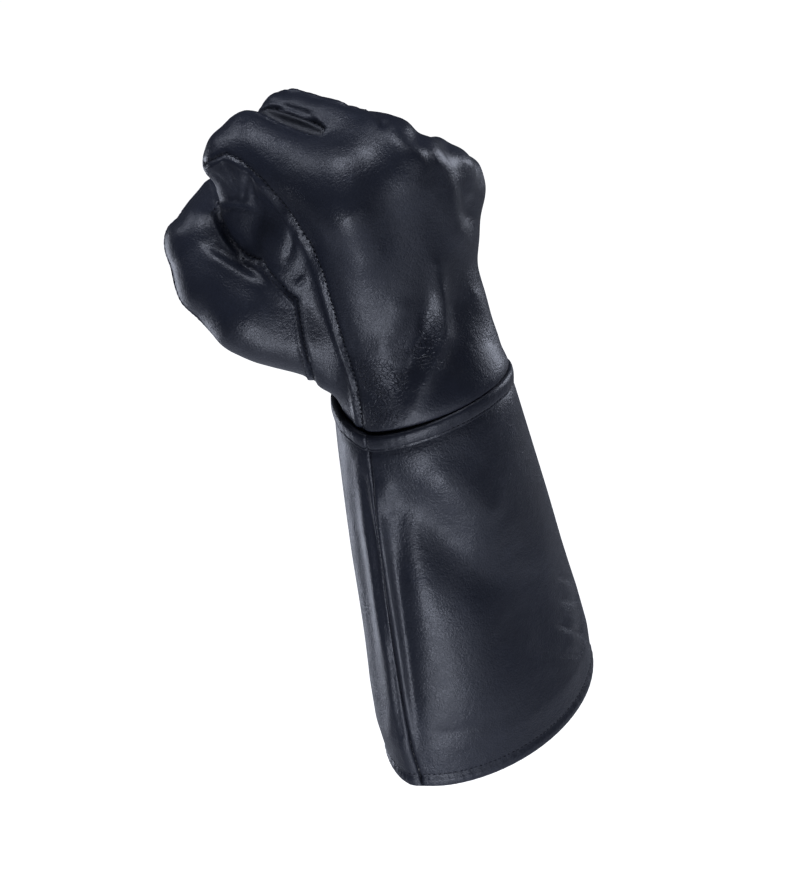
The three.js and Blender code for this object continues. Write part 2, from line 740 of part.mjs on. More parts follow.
const SEAM_GAP_DEGREES = 0.3;
const glove = new THREE.Group();
glove.name = "gauntlet_glove";
glove.add(leatherMesh("back_panel", solidGeometry(largest(back)), LEATHER_COLOUR));
glove.add(leatherMesh("palm_panel", solidGeometry(largest(palm)), LEATHER_COLOUR));
glove.add(leatherMesh("thumb", solidGeometry(largest(thumb)), LEATHER_COLOUR));
for (const strip of strips) {
  glove.add(leatherMesh(strip.name, solidGeometry(strip.piece), STRIP_COLOUR));
}
glove.add(leatherMesh("wrist_band", shapeGeometry(wristBand()), BAND_COLOUR));
const backSide = cuffPanel(180 + SEAM_GAP_DEGREES, 360 - SEAM_GAP_DEGREES);
const palmSide = cuffPanel(SEAM_GAP_DEGREES, 180 - SEAM_GAP_DEGREES);
glove.add(leatherMesh("cuff_back_panel", shapeGeometry(backSide), LEATHER_COLOUR));
glove.add(leatherMesh("cuff_palm_panel", shapeGeometry(palmSide), LEATHER_COLOUR));

export default glove;
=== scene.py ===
import math

import bpy
import numpy as np
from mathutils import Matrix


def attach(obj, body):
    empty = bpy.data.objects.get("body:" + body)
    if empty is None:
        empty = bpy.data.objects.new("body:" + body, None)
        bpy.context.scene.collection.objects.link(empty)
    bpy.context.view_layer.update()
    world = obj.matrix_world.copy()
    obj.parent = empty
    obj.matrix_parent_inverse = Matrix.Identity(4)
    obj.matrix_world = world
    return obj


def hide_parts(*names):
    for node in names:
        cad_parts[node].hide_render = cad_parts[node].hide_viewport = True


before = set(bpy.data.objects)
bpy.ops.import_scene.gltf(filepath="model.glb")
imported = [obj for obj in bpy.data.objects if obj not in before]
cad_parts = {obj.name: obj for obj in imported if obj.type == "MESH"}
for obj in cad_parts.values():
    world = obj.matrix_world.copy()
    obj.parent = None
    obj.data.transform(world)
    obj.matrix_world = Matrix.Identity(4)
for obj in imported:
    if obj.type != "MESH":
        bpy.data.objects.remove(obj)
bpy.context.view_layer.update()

import openvdb
from mathutils import Matrix, Vector
from mathutils.bvhtree import BVHTree

MM = 0.001

# Photo view: angles in degrees, millimetres a pixel at the origin, image size and the origin's pixel.
VIEW_AZ, VIEW_EL, VIEW_ROLL = -48.0, 35.0, 8.5
PIXEL_MM = 0.39
IMAGE_W, IMAGE_H = 794, 879
ORIGIN_PX = (424.0, 400.0)
CAMERA_MM = 1400.0

# Wrist band, cuff and leather sizes in millimetres.
BAND_SLOPE_X, BAND_SLOPE_BACK, BAND_SLOPE_PALM = -0.07, -0.36, 0.12
BAND_HALF = (36.8, 34.8)
BAND_HEIGHT = 6.0
BAND_THICK = 3.0
BAND_INNER = (BAND_HALF[0] - BAND_THICK, BAND_HALF[1] - BAND_THICK)
TUCK_DEPTH = 7.0
THUMB_REACH = 7.0
CUFF_WALL = 1.5
HEM_HEIGHT = 5.5
HEM_EXTRA = 1.0
FOLD_FADE = 30.0
LEATHER = 1.3
GRID = 0.95

# Digits: knuckle, bone lengths, tilts, turn, radii and root.
DIGITS = [
    ((-21, 6.5, 106.4), (45, 28, 17), (82, 179, 202), -2, (15, 13.6, 12.4, 11), (-13, 6, 24)),
    ((-2, -5, 110), (50, 31, 18), (83, 180, 228), 0, (14.6, 12.2, 9.8, 9), (-3, 0, 24)),
    ((14, -5, 95.8), (46, 30, 17), (85, 180, 228), 0, (13.8, 10.8, 9.5, 8.8), (7, 0, 24)),
    ((27.2, -2, 80.2), (38, 22, 15), (82, 178, 226), 0, (12.8, 9.6, 9, 8.2), (14, 3, 24)),
]
PALM_BONE = 18.5
THUMB = [((-18, 12, 26), 13), ((-38, 46.5, 52), 17), ((-38.2, 59.5, 60.5), 16.4), ((-33, 70.5, 72), 15),
         ((-12, 76, 75), 12)]
THUMB_BLENDS = (8.0, 6.0, 6.0, 1.5)
THUMB_SEAM = (0.49, (-20, 27, -1))
HEEL = ((14, 12, 22), (21.5, 24, 56), (16, 14), 12)
KNUCKLE_PAD = ((-22, 24, 96), (-22, 40, 98), (11, 8), 8)
WEB = ((-29, 34, 46), (-26, 32, 80), (17, 12), 12)
WRIST = ((-34, 33.8, 31.4, -0.5), (30, 33.0, 29.0, 1.0))
WRIST_DOME = (6.0, 46.0)

# Outline of the palm side: x, then y and z of each point from wrist to fingertip.
PALM_OUTLINE = [
    (-80, (0, -2, -1, 3, 7, 12, 20, 33, 45, 55, 62, 63, 60, 54),
     (-60, 7, 34, 61, 80, 91, 101, 112, 116, 115, 108, 98, 80, 64)),
    (-14, (0, -2, -1, 3, 7, 12, 20, 33, 45, 53, 58, 58, 56, 52),
     (-60, 7, 34, 61, 80, 91, 101, 110, 113, 112, 106, 96, 80, 66)),
    (12, (0, -2, -2, -1, 2, 6, 13, 22, 32, 38, 42, 42, 40, 38),
     (-60, 6, 30, 56, 76, 88, 98, 104, 106, 105, 99, 90, 76, 62)),
    (80, (0, -2, -2, -2, -1, 2, 7, 14, 23, 28, 32, 32, 31, 30),
     (-60, 4, 22, 42, 58, 68, 76, 81, 84, 83, 78, 70, 58, 46)),
]

# Side strips between the fingers: name, digits, half width and start past the knuckle.
STRIPS = [
    ("fourchette_index_middle", (0, 1), 2.4, 20),
    ("fourchette_middle_ring", (1, 2), 2.6, 22),
    ("fourchette_ring_little", (2, 3), 2.6, 18),
]

# Cuff sections: height, half sizes, middle and corner.
CUFF_ROWS = np.array([
    (16, 34.4, 32.0, 0.0, 0.2, 1.0),
    (0, 36.9, 34.6, 0.0, -0.3, 1.0),
    (-14, 39.2, 35.3, 0.2, -1.0, 1.02),
    (-34, 42.8, 35.7, 0.6, -2.1, 1.06),
    (-60, 47.2, 36.3, 1.2, -3.5, 1.1),
    (-88, 51.3, 37.1, 1.9, -5.1, 1.14),
    (-116, 55.4, 37.8, 2.7, -6.8, 1.16),
    (-134, 57.2, 37.8, 3.2, -8.0, 1.18),
    (-153, 57.0, 35.0, 3.4, -10.0, 1.18),
])
CUFF_FOLDS = [
    (196, -60, 9, 60, -2.4), (186, -80, 6, 70, 1.2), (162, -70, 10, 60, -1.8), (225, -50, 16, 26, -2.2),
    (262, -85, 18, 30, -2.0), (300, -100, 20, 26, -1.6), (120, -95, 22, 30, -2.2), (60, -70, 18, 34, -1.8),
]

# Folds of the cuff: line in photo pixels, half width in pixels and height in millimetres.
CUFF_MARKS = [
    ([(371, 476), (376, 509), (384, 555), (391, 600), (399, 650), (406, 700), (411, 735)], 4.5, 1.1),
    ([(362, 478), (367, 509), (375, 555), (381, 600), (389, 650), (396, 700), (402, 735)], 4.0, -1.5),
    ([(357, 465), (362, 500), (366, 530), (373, 570), (382, 629), (389, 667), (393, 705), (390, 735)],
     5.0, 1.0),
    ([(384, 478), (388, 500), (396, 520)], 9.0, 0.9),
    ([(386, 520), (396, 575), (406, 640), (414, 700), (420, 750)], 5.0, -0.4),
    ([(380, 480), (410, 510), (450, 548), (487, 580), (515, 612)], 25.0, -3.0),
    ([(425, 462), (465, 492), (505, 520)], 22.0, 2.2),
    ([(440, 590), (462, 635), (476, 690)], 38.0, 2.2),
    ([(520, 560), (545, 610), (552, 670)], 20.0, -1.6),
    ([(560, 560), (568, 590), (572, 625), (572, 660)], 5.0, 0.6),
    ([(573, 575), (580, 610), (583, 650)], 3.0, -0.7),
    ([(556, 574), (574, 582)], 4.0, -0.6),
    ([(560, 598), (580, 603)], 4.5, -0.5),
    ([(558, 622), (584, 634)], 4.0, -0.6),
    ([(566, 652), (586, 656)], 5.0, -0.5),
    ([(430, 735), (470, 728), (510, 712)], 6.0, -0.35),
]

# The cuff's thumb-side seam at its top and bottom in degrees, the size of its grid, its lower edge and
# the radius of its turned hem.
CUFF_SEAM = (180.0, 193.0)
CUFF_STEP = 1.2
HEM_BOTTOM = CUFF_ROWS[-1][0]
HEM_RADIUS = 1.35

# Section of the wrist band, out from the wrist and up, and how many columns run round it.
BAND_SECTION = [
    (0.2, -3.2), (0.8, -3.75), (1.6, -3.95), (2.5, -3.85), (3.05, -3.5), (3.2, -3.05), (2.8, -2.55),
    (3.2, -2.05), (3.35, -1.4), (3.4, -0.2), (3.4, 1.0), (3.3, 2.0), (3.0, 2.8), (2.4, 3.3), (1.6, 3.45),
    (0.8, 3.3), (0.3, 2.7), (0.1, 1.4), (0.05, 0.0), (0.05, -1.6),
]
BAND_COLUMNS = 420

# Side seam of the hand and the cuff as it runs across the photo, in pixels.
SEAM_HAND = [(196, 170), (203, 165), (225, 153), (240, 160), (262, 180), (290, 215), (310, 245), (322, 275),
             (335, 320), (355, 380), (366, 437), (372, 475)]


# Folds of the hand: line in photo pixels, half width in pixels and height in millimetres.
HAND_FOLDS = [
    ([(266, 104), (285, 107), (305, 114), (326, 127)], 4, -2.0),
    ([(378, 113), (383, 123)], 4.5, -2.0),
    ([(412, 133), (426, 148), (434, 168), (440, 190)], 8, -1.2),
    ([(380, 124), (407, 151), (430, 156), (443, 170), (449, 187), (451, 214), (464, 243), (477, 271)],
     13, 1.9),
    ([(454, 157), (472, 168), (474, 187), (474, 204)], 7, 0.9),
    ([(457, 175), (464, 200), (470, 230)], 8, -0.9),
    ([(350, 222), (364, 252)], 24, 2.8),
    ([(438, 267), (441, 314), (443, 336), (432, 361), (419, 386), (412, 402)], 8, 2.6),
    ([(458, 283), (459, 340), (444, 380)], 12, -1.6),
    ([(427, 300), (425, 335), (408, 368), (398, 388)], 7, -1.5),
    ([(408, 292), (392, 330), (375, 362)], 13, 1.3),
    ([(470, 280), (490, 325), (500, 350)], 8, 0.8),
    ([(239, 203), (226, 186), (214, 172)], 2.4, -0.7),
    ([(240, 203), (233, 182), (228, 166)], 2.2, -0.5),
    ([(242, 203), (246, 184), (246, 170)], 2.4, -0.7),
    ([(255, 204), (252, 188), (248, 170)], 2.4, -0.9),
    ([(216, 203), (234, 201), (254, 205)], 3.0, 0.6),
    ([(216, 210), (234, 208), (252, 211)], 2.5, -0.8),
    ([(212, 205), (228, 240), (246, 264), (260, 271)], 3.5, -1.4),
    ([(252, 240), (268, 262), (284, 268)], 3.0, -0.6),
    ([(200, 250), (240, 275), (280, 295)], 7.0, 0.8),
    ([(206, 243), (238, 262), (262, 277)], 5.0, -0.8),
    ([(296, 285), (306, 277)], 3.0, 1.0),
    ([(291, 226), (291, 246), (286, 264)], 5.0, -1.0),
]

# Places where the outline is filled out or drawn in: pixel, radius in pixels and height in millimetres.
HAND_OUTLINE = [
    ((218, 120), 20, -2.4), ((205, 168), 13, 2.2), ((287, 90), 10, -1.2), ((338, 100), 18, 1.1),
    ((380, 112), 12, 0.9), ((422, 128), 15, -3.0), ((450, 141), 12, -1.2), ((474, 160), 18, 1.4),
    ((484, 215), 20, -1.4), ((483, 262), 24, -2.0), ((504, 345), 14, -1.6), ((175, 215), 12, -1.5),
    ((197, 318), 20, -1.5), ((258, 362), 20, 1.1), ((322, 388), 12, 2.0),
]

# Creased areas of the hand and the cuff: middle and radius in millimetres.
CREASED = [((-30, -8, 32), 17), ((-17, -15, 41), 17), ((-32, -5, 20), 14)]
CUFF_CREASED = [((50, -30, -120), 30)]

# Softboxes: name, direction from the glove in camera axes, distance and size in metres, power in watts.
LIGHTS = [
    ("front_high", (-0.12, 0.84, 0.52), 1.5, (0.6, 0.6), 11.0),
    ("front_low", (-0.05, -0.85, 0.52), 1.5, (0.7, 0.5), 11.0),
    ("front_right_low", (0.62, -0.60, 0.45), 1.5, (0.6, 0.6), 1.6),
    ("left_high", (-0.70, 0.70, 0.09), 1.5, (0.6, 0.6), 4.4),
    ("right_rim", (0.79, 0.44, -0.43), 1.5, (0.6, 0.8), 9.0),
    ("left_rim", (-0.67, -0.05, -0.74), 1.5, (0.6, 0.8), 4.8),
]
LIGHT_TINT = (0.80, 0.85, 1.0)
LIGHT_LOWER = -0.02
WORLD_LIGHT = 0.02
FLOOR_GLOW = 1.0
FLOOR_Z, FLOOR_HALF = -1.2, 12.0

# Colour of the leather, in linear light.
TONE = (0.0225, 0.0262, 0.0395)

# Camera directions in the glove's frame.
_a, _e, _r = (math.radians(v) for v in (VIEW_AZ, VIEW_EL, VIEW_ROLL))
TO_CAMERA = np.array([math.sin(_a) * math.cos(_e), -math.cos(_a) * math.cos(_e), math.sin(_e)])
LEVEL = np.array([math.cos(_a), math.sin(_a), 0.0])
UPRIGHT = np.cross(TO_CAMERA, LEVEL)
RIGHT = math.cos(_r) * LEVEL - math.sin(_r) * UPRIGHT
UP = math.sin(_r) * LEVEL + math.cos(_r) * UPRIGHT
CENTRE_MM = (
    RIGHT * (IMAGE_W / 2 - ORIGIN_PX[0]) * PIXEL_MM
    - UP * (IMAGE_H / 2 - ORIGIN_PX[1]) * PIXEL_MM
)
CAMERA_AT = CENTRE_MM + TO_CAMERA * CAMERA_MM


def photo_pixels(points):
    """Photo pixel and depth of points in millimetres."""
    away = points - CAMERA_AT
    depth = -(away @ TO_CAMERA)
    scale = CAMERA_MM / depth / PIXEL_MM
    u = IMAGE_W / 2 + (away @ RIGHT) * scale
    v = IMAGE_H / 2 - (away @ UP) * scale
    return u, v, depth


def smooth(low, high, value):
    """0 below low, 1 above high and a soft step between."""
    t = np.clip((value - low) / (high - low), 0.0, 1.0)
    return t * t * (3.0 - 2.0 * t)


def blend(a, b, k):
    """Two distances joined with a soft fillet."""
    h = np.clip(0.5 + 0.5 * (b - a) / k, 0.0, 1.0)
    return b + (a - b) * h - k * h * (1.0 - h)


def bone(p, start, end, r0, r1):
    """Distance to a tapered bone."""
    start = np.asarray(start, float)
    line = np.asarray(end, float) - start
    t = np.clip(((p - start) @ line) / (line @ line), 0.0, 1.0)
    return np.linalg.norm(p - start - t[:, None] * line, axis=1) - (r0 + (r1 - r0) * t)


def digit_joints(digit):
    """Joint places of a digit, knuckle to tip."""
    knuckle, lengths, tilts, turn = digit[:4]
    turn = math.radians(turn)
    ahead = np.array([math.sin(turn), math.cos(turn), 0.0])
    joints = [np.array(knuckle, float)]
    for length, tilt in zip(lengths, tilts):
        tilt = math.radians(tilt)
        step = ahead * math.sin(tilt) + np.array([0.0, 0.0, math.cos(tilt)])
        joints.append(joints[-1] + step * length)
    return joints


JOINTS = [digit_joints(d) for d in DIGITS]
THUMB_AT = [np.array(p, float) for p, _ in THUMB]
THUMB_R = [r for _, r in THUMB]


def wrist_part(p):
    """Distance to the elliptic wrist."""
    low, high = WRIST
    t = np.clip((p[:, 2] - low[0]) / (high[0] - low[0]), 0.0, 1.0)
    half_x, half_y, mid_y = (low[i] + (high[i] - low[i]) * t for i in (1, 2, 3))
    start, tall = WRIST_DOME
    over = np.clip(p[:, 2] - start, 0.0, None) / tall
    narrow = np.sqrt(np.clip(1.0 - over ** 2, 0.02, 1.0))
    half_x, half_y = half_x * narrow, half_y * narrow
    q = np.hypot(p[:, 0] / half_x, (p[:, 1] - mid_y) / half_y)
    side = (q - 1.0) * np.minimum(half_x, half_y)
    return np.maximum(side, np.maximum(low[0] - p[:, 2], p[:, 2] - start - tall))


def fingers_part(p, web=True):
    """Distance to the hand and its fingers, without the thumb."""
    hand = wrist_part(p)
    for digit, joints in zip(DIGITS, JOINTS):
        hand = blend(hand, bone(p, digit[5], joints[0], PALM_BONE, digit[4][0]), 12.0)
    row = None
    for digit, joints in zip(DIGITS, JOINTS):
        f = bone(p, joints[0], joints[1], digit[4][0], digit[4][1])
        row = f if row is None else blend(row, f, 3.0)
    hand = blend(hand, row, 10.0)
    pads = (HEEL, KNUCKLE_PAD, WEB) if web else (HEEL, KNUCKLE_PAD)
    for start, end, radii, soft in pads:
        hand = blend(hand, bone(p, start, end, radii[0], radii[1]), float(soft))
    for digit, joints in zip(DIGITS, JOINTS):
        mid = bone(p, joints[1], joints[2], digit[4][1], digit[4][2])
        tip = bone(p, joints[2], joints[3], digit[4][2], digit[4][3])
        hand = blend(hand, blend(mid, tip, 2.4), 6.0 if digit is DIGITS[0] else 1.2)
    return hand


def thumb_bone(p, i):
    return bone(p, THUMB_AT[i], THUMB_AT[i + 1], THUMB_R[i], THUMB_R[i + 1])


def thumb_part(p):
    """Distance to the whole thumb."""
    whole = thumb_bone(p, 0)
    for i in range(1, len(THUMB) - 1):
        whole = blend(whole, thumb_bone(p, i), 6.0)
    return whole


def hand_part(p):
    """Distance to the whole hand part of the glove."""
    whole = fingers_part(p)
    for i, softness in enumerate(THUMB_BLENDS):
        whole = blend(whole, thumb_bone(p, i), softness)
    return whole


def in_chunks(field, p, size=400000):
    return np.concatenate([field(p[i:i + size]) for i in range(0, len(p), size)])


def field_slope(field, p, probe=0.05):
    """Slope of a field at points, by central differences."""
    out = np.empty_like(p)
    for axis in range(3):
        step = np.zeros(3)
        step[axis] = probe
        out[:, axis] = (in_chunks(field, p + step) - in_chunks(field, p - step)) / (2 * probe)
    return out


def skin(field, low, high, cell):
    """Triangles of the zero level of a field, found on a coarse grid and refined near the surface."""
    low = np.asarray(low, float)
    blocks = np.ceil((np.asarray(high) - low) / (4 * cell)).astype(int)
    corner = [low[i] + 4 * cell * np.arange(blocks[i] + 1) for i in range(3)]
    grid = np.stack(np.meshgrid(*corner, indexing="ij"), -1)
    coarse = in_chunks(field, grid.reshape(-1, 3)).reshape(grid.shape[:3])
    near = np.full(tuple(blocks), 1e9)
    for dx in (0, 1):
        for dy in (0, 1):
            for dz in (0, 1):
                part = coarse[dx:dx + blocks[0], dy:dy + blocks[1], dz:dz + blocks[2]]
                near = np.minimum(near, np.abs(part))
    active = np.argwhere(near < 4 * cell * 1.25)
    base = coarse[:-1, :-1, :-1]
    fine = np.repeat(np.repeat(np.repeat(base, 4, 0), 4, 1), 4, 2).astype(np.float32)
    offset = np.stack(np.meshgrid(*[np.arange(4)] * 3, indexing="ij"), -1).reshape(-1, 3)
    index = (active[:, None, :] * 4 + offset[None]).reshape(-1, 3)
    values = in_chunks(field, low + index * cell)
    fine[index[:, 0], index[:, 1], index[:, 2]] = values
    grid = openvdb.FloatGrid(background=50.0)
    grid.copyFromArray(np.ascontiguousarray(fine))
    points, quads = grid.convertToQuads(isovalue=0.0)
    points = low + points.astype(float) * cell
    quads = quads.astype(np.int64)
    for _ in range(3):
        value = in_chunks(field, points)
        slope = field_slope(field, points)
        steep = np.maximum((slope ** 2).sum(1), 0.05)
        step = np.clip(value / steep, -0.6 * cell, 0.6 * cell)
        points = points - slope * step[:, None]
    first = np.linalg.norm(points[quads[:, 0]] - points[quads[:, 2]], axis=1)
    second = np.linalg.norm(points[quads[:, 1]] - points[quads[:, 3]], axis=1)
    cut = (first <= second)[:, None]
    one = np.where(cut, quads[:, [0, 1, 2]], quads[:, [0, 1, 3]])
    two = np.where(cut, quads[:, [0, 2, 3]], quads[:, [1, 2, 3]])
    return points, np.concatenate([one, two])


def edges_of(tris):
    """The three edges of each triangle, as pairs of vertices."""
    return np.concatenate([tris[:, [0, 1]], tris[:, [1, 2]], tris[:, [2, 0]]])


def shared_edges(tris):
    """Edges between two triangles, with the one and the other triangle's number."""
    edges = np.sort(edges_of(tris), axis=1)
    face = np.tile(np.arange(len(tris)), 3)
    order = np.lexsort((edges[:, 1], edges[:, 0]))
    edges, face = edges[order], face[order]
    same = (edges[1:] == edges[:-1]).all(1)
    return edges[:-1][same], face[:-1][same], face[1:][same]


def unit(vectors):
    """Directions of length 1."""
    return vectors / np.maximum(np.linalg.norm(vectors, axis=1), 1e-9)[:, None]


def vertex_normals(points, tris):
    """Unit normals of the vertices."""
    face = np.cross(points[tris[:, 1]] - points[tris[:, 0]], points[tris[:, 2]] - points[tris[:, 0]])
    out = np.zeros_like(points)
    for i in range(3):
        np.add.at(out, tris[:, i], face)
    return unit(out)


def relax(points, tris, values, rounds, hold=1.0):
    """Values spread evenly over neighbouring vertices, by a share of 0 to 1."""
    edges = edges_of(tris)
    start, end = np.concatenate([edges[:, 0], edges[:, 1]]), np.concatenate([edges[:, 1], edges[:, 0]])
    size = len(points)
    count = np.maximum(np.bincount(start, minlength=size), 1)
    flat = values.reshape(size, -1)
    for _ in range(rounds):
        total = [np.bincount(start, weights=column[end], minlength=size) for column in flat.T]
        flat = flat + 0.5 * hold * (np.stack(total, 1) / count[:, None] - flat)
    return flat.reshape(values.shape)


def line_distance(u, v, line):
    """Signed distance to a line of pixels: more than 0 on its right as it is followed."""
    line = np.asarray(line, float)
    best = np.full(u.shape, 1e9)
    sign = np.zeros(u.shape)
    for i, (a, b) in enumerate(zip(line[:-1], line[1:])):
        d = b - a
        t = ((u - a[0]) * d[0] + (v - a[1]) * d[1]) / (d @ d)
        low = -1e9 if i == 0 else 0.0
        high = 1e9 if i == len(line) - 2 else 1.0
        t = np.clip(t, low, high)
        du = u - a[0] - t * d[0]
        dv = v - a[1] - t * d[1]
        far = np.hypot(du, dv)
        side = np.sign(d[0] * dv - d[1] * du)
        use = far < best
        best = np.where(use, far, best)
        sign = np.where(use, side, sign)
    return best * sign


def stroke_distance(u, v, line):
    """Distance to a line of pixels that ends at both ends, and how far along it, 0 to 1."""
    line = np.asarray(line, float)
    lengths = np.maximum(np.linalg.norm(np.diff(line, axis=0), axis=1), 1e-6)
    starts = np.concatenate([[0.0], np.cumsum(lengths)])
    best = np.full(u.shape, 1e9)
    share = np.zeros(u.shape)
    for a, b, length, start in zip(line[:-1], line[1:], lengths, starts):
        d = b - a
        t = np.clip(((u - a[0]) * d[0] + (v - a[1]) * d[1]) / length ** 2, 0.0, 1.0)
        far = np.hypot(u - a[0] - t * d[0], v - a[1] - t * d[1])
        share = np.where(far < best, (start + t * length) / starts[-1], share)
        best = np.minimum(best, far)
    return best, share


def seen(points, normals):
    """How far each vertex is seen from the photo's side, 0 to 1."""
    u, v, depth = photo_pixels(points)
    facing = smooth(0.02, 0.3, (normals * TO_CAMERA).sum(1))
    column = np.clip((u / 3).astype(int), 0, 299)
    row = np.clip((v / 3).astype(int), 0, 319)
    nearest = np.full((300, 320), 1e9)
    np.minimum.at(nearest, (column, row), depth)
    front = nearest.copy()
    for du in (-1, 0, 1):
        for dv in (-1, 0, 1):
            front = np.minimum(front, np.roll(np.roll(nearest, du, 0), dv, 1))
    slack = 4.0 + 2.4 / np.maximum((normals * TO_CAMERA).sum(1), 0.15)
    return facing * (depth - front[column, row] < slack)


def apply_folds(points, normals, folds, visible):
    """Heights of the folds at the vertices."""
    u, v, _ = photo_pixels(points)
    out = np.zeros(len(points))
    for line, wide, height in folds:
        far, share = stroke_distance(u, v, line)
        fade = 1.0
        if np.linalg.norm(np.subtract(line[0], line[-1])) > 4 * wide:
            fade = 0.3 + 0.7 * smooth(0.0, 0.25, share) * smooth(1.0, 0.75, share)
        out += height * fade * np.exp(-((far / wide) ** 2))
    return out * visible


def shape_outline(points, normals, shifts):
    """Heights that fill out or draw in the outline seen in the photo."""
    u, v, _ = photo_pixels(points)
    out = np.zeros(len(points))
    for (at_u, at_v), wide, height in shifts:
        out += height * np.exp(-(((u - at_u) ** 2 + (v - at_v) ** 2) / wide ** 2))
    return out * smooth(-0.7, -0.3, normals @ TO_CAMERA)


def outline_at(x):
    """Palm outline at one place across the hand."""
    rows = PALM_OUTLINE
    for low, high in zip(rows[:-1], rows[1:]):
        if x <= high[0]:
            t = (x - low[0]) / (high[0] - low[0])
            y = np.array(low[1]) + (np.array(high[1]) - np.array(low[1])) * t
            z = np.array(low[2]) + (np.array(high[2]) - np.array(low[2])) * t
            return y, z
    return np.array(rows[-1][1], float), np.array(rows[-1][2], float)


def palm_side(points):
    """Signed distance to the side seams: more than 0 on the palm side."""
    steps = np.linspace(-80, 80, 81)
    out = np.empty((len(steps), len(points)), np.float32)
    for i, x in enumerate(steps):
        y, z = outline_at(x)
        line = list(zip(y, z)) + [(y[-1], -60.0)]
        best = np.full(len(points), 1e9)
        closed = line + [(y[0], -60.0)]
        poly = np.array(closed + [line[0]])
        inside = np.zeros(len(points), bool)
        for a, b in zip(poly[:-1], poly[1:]):
            crosses = (a[1] > points[:, 2]) != (b[1] > points[:, 2])
            rise = b[1] - a[1] if b[1] != a[1] else 1e-9
            at = a[0] + (points[:, 2] - a[1]) * (b[0] - a[0]) / rise
            inside ^= crosses & (points[:, 1] < at)
        for a, b in zip(line[:-1], line[1:]):
            a, b = np.array(a, float), np.array(b, float)
            d = b - a
            t = ((points[:, 1] - a[0]) * d[0] + (points[:, 2] - a[1]) * d[1]) / max(d @ d, 1e-9)
            t = np.clip(t, 0.0, 1.0)
            far = np.hypot(points[:, 1] - a[0] - t * d[0], points[:, 2] - a[1] - t * d[1])
            best = np.minimum(best, far)
        sign = np.where(inside, 1.0, -1.0)
        out[i] = best * sign
    place = np.clip((points[:, 0] + 80.0) / 2.0, 0, 79.999)
    low = place.astype(int)
    t = place - low
    column = np.arange(len(points))
    return out[low, column] * (1 - t) + out[low + 1, column] * t


def strip_side(points, strip):
    """Distance inside a side strip's outline seen from above: more than 0 inside."""
    first, second = strip[1]
    start = (JOINTS[first][0] + JOINTS[second][0]) / 2
    end = (JOINTS[first][1] + JOINTS[second][1]) / 2
    along = end - start
    along[2] = 0
    along /= np.linalg.norm(along)
    across = np.array([along[1], -along[0], 0])
    away = points - start
    ahead = away @ along - strip[3]
    side = np.abs(away @ across)
    half = strip[2]
    width = half * np.clip(0.5 + 0.5 * ahead / (2 * half), 0.0, 1.0)
    return np.minimum(np.minimum(width - side, ahead), points[:, 2] - (JOINTS[first][2][2] - 20))


def snap(points, tris, field):
    """Moves the vertices nearest to a field's zero on to it, and sets their value to 0."""
    edges = edges_of(tris)
    edges = np.unique(np.sort(edges, axis=1), axis=0)
    fa, fb = field[edges[:, 0]], field[edges[:, 1]]
    cross = (fa > 0) != (fb > 0)
    edges, fa, fb = edges[cross], fa[cross], fb[cross]
    t = fa / (fa - fb)
    use_a = t < 0.5
    vertex = np.where(use_a, edges[:, 0], edges[:, 1])
    spot = points[edges[:, 0]] + (points[edges[:, 1]] - points[edges[:, 0]]) * t[:, None]
    total = np.zeros_like(points)
    count = np.zeros(len(points))
    np.add.at(total, vertex, spot)
    np.add.at(count, vertex, 1)
    hit = count > 0
    moved = points.copy()
    moved[hit] = total[hit] / count[hit][:, None]
    value = field.copy()
    value[hit] = 0.0
    return moved, value, hit


def faces_inside(tris, value):
    """Faces on the side of a field that is more than 0."""
    return value[tris].sum(1) > 0


def drop_islands(tris, labels, smallest=40):
    """Labels in which an island of a few faces takes the label of what lies round it."""
    _, a, b = shared_edges(tris)
    a, b = np.concatenate([a, b]), np.concatenate([b, a])
    alike = labels[a] == labels[b]
    group = np.arange(len(tris))
    while True:
        low = group.copy()
        np.minimum.at(low, a[alike], group[b[alike]])
        low = low[low]
        if (low == group).all():
            break
        group = low
    tiny = np.bincount(group, minlength=len(tris))[group] < smallest
    labels = labels.copy()
    while tiny.any():
        hit = tiny[a] & ~tiny[b]
        if not hit.any():
            break
        labels[a[hit]] = labels[b[hit]]
        tiny[a[hit]] = False
    return labels


def label_chains(tris, labels, first, second):
    """Lines of vertices along the border of two labels, longest first."""
    edges, one, two = shared_edges(tris)
    a, b = labels[one], labels[two]
    hit = ((a == first) & (b == second)) | ((a == second) & (b == first))
    border = edges[hit]
    links = {}
    for i, j in border.tolist():
        links.setdefault(i, set()).add(j)
        links.setdefault(j, set()).add(i)
    lines = []
    while links:
        ends = [v for v, near in links.items() if len(near) == 1]
        at = ends[0] if ends else next(iter(links))
        line = [at]
        while links.get(at):
            following = links[at].pop()
            links[following].discard(at)
            if not links[at]:
                del links[at]
            at = following
            line.append(at)
        if at in links and not links[at]:
            del links[at]
        lines.append(line)
    return sorted(lines, key=len, reverse=True)


def even_line(points, spacing, rounds=6):
    """A line of points, softened and spaced evenly."""
    points = np.array(points, float)
    for _ in range(rounds):
        points[1:-1] = 0.25 * points[:-2] + 0.5 * points[1:-1] + 0.25 * points[2:]
    step = np.linalg.norm(np.diff(points, axis=0), axis=1)
    along = np.concatenate([[0.0], np.cumsum(step)])
    count = max(2, int(along[-1] / spacing) + 1)
    wanted = np.linspace(0.0, along[-1], count)
    return np.stack([np.interp(wanted, along, points[:, i]) for i in range(3)], 1)


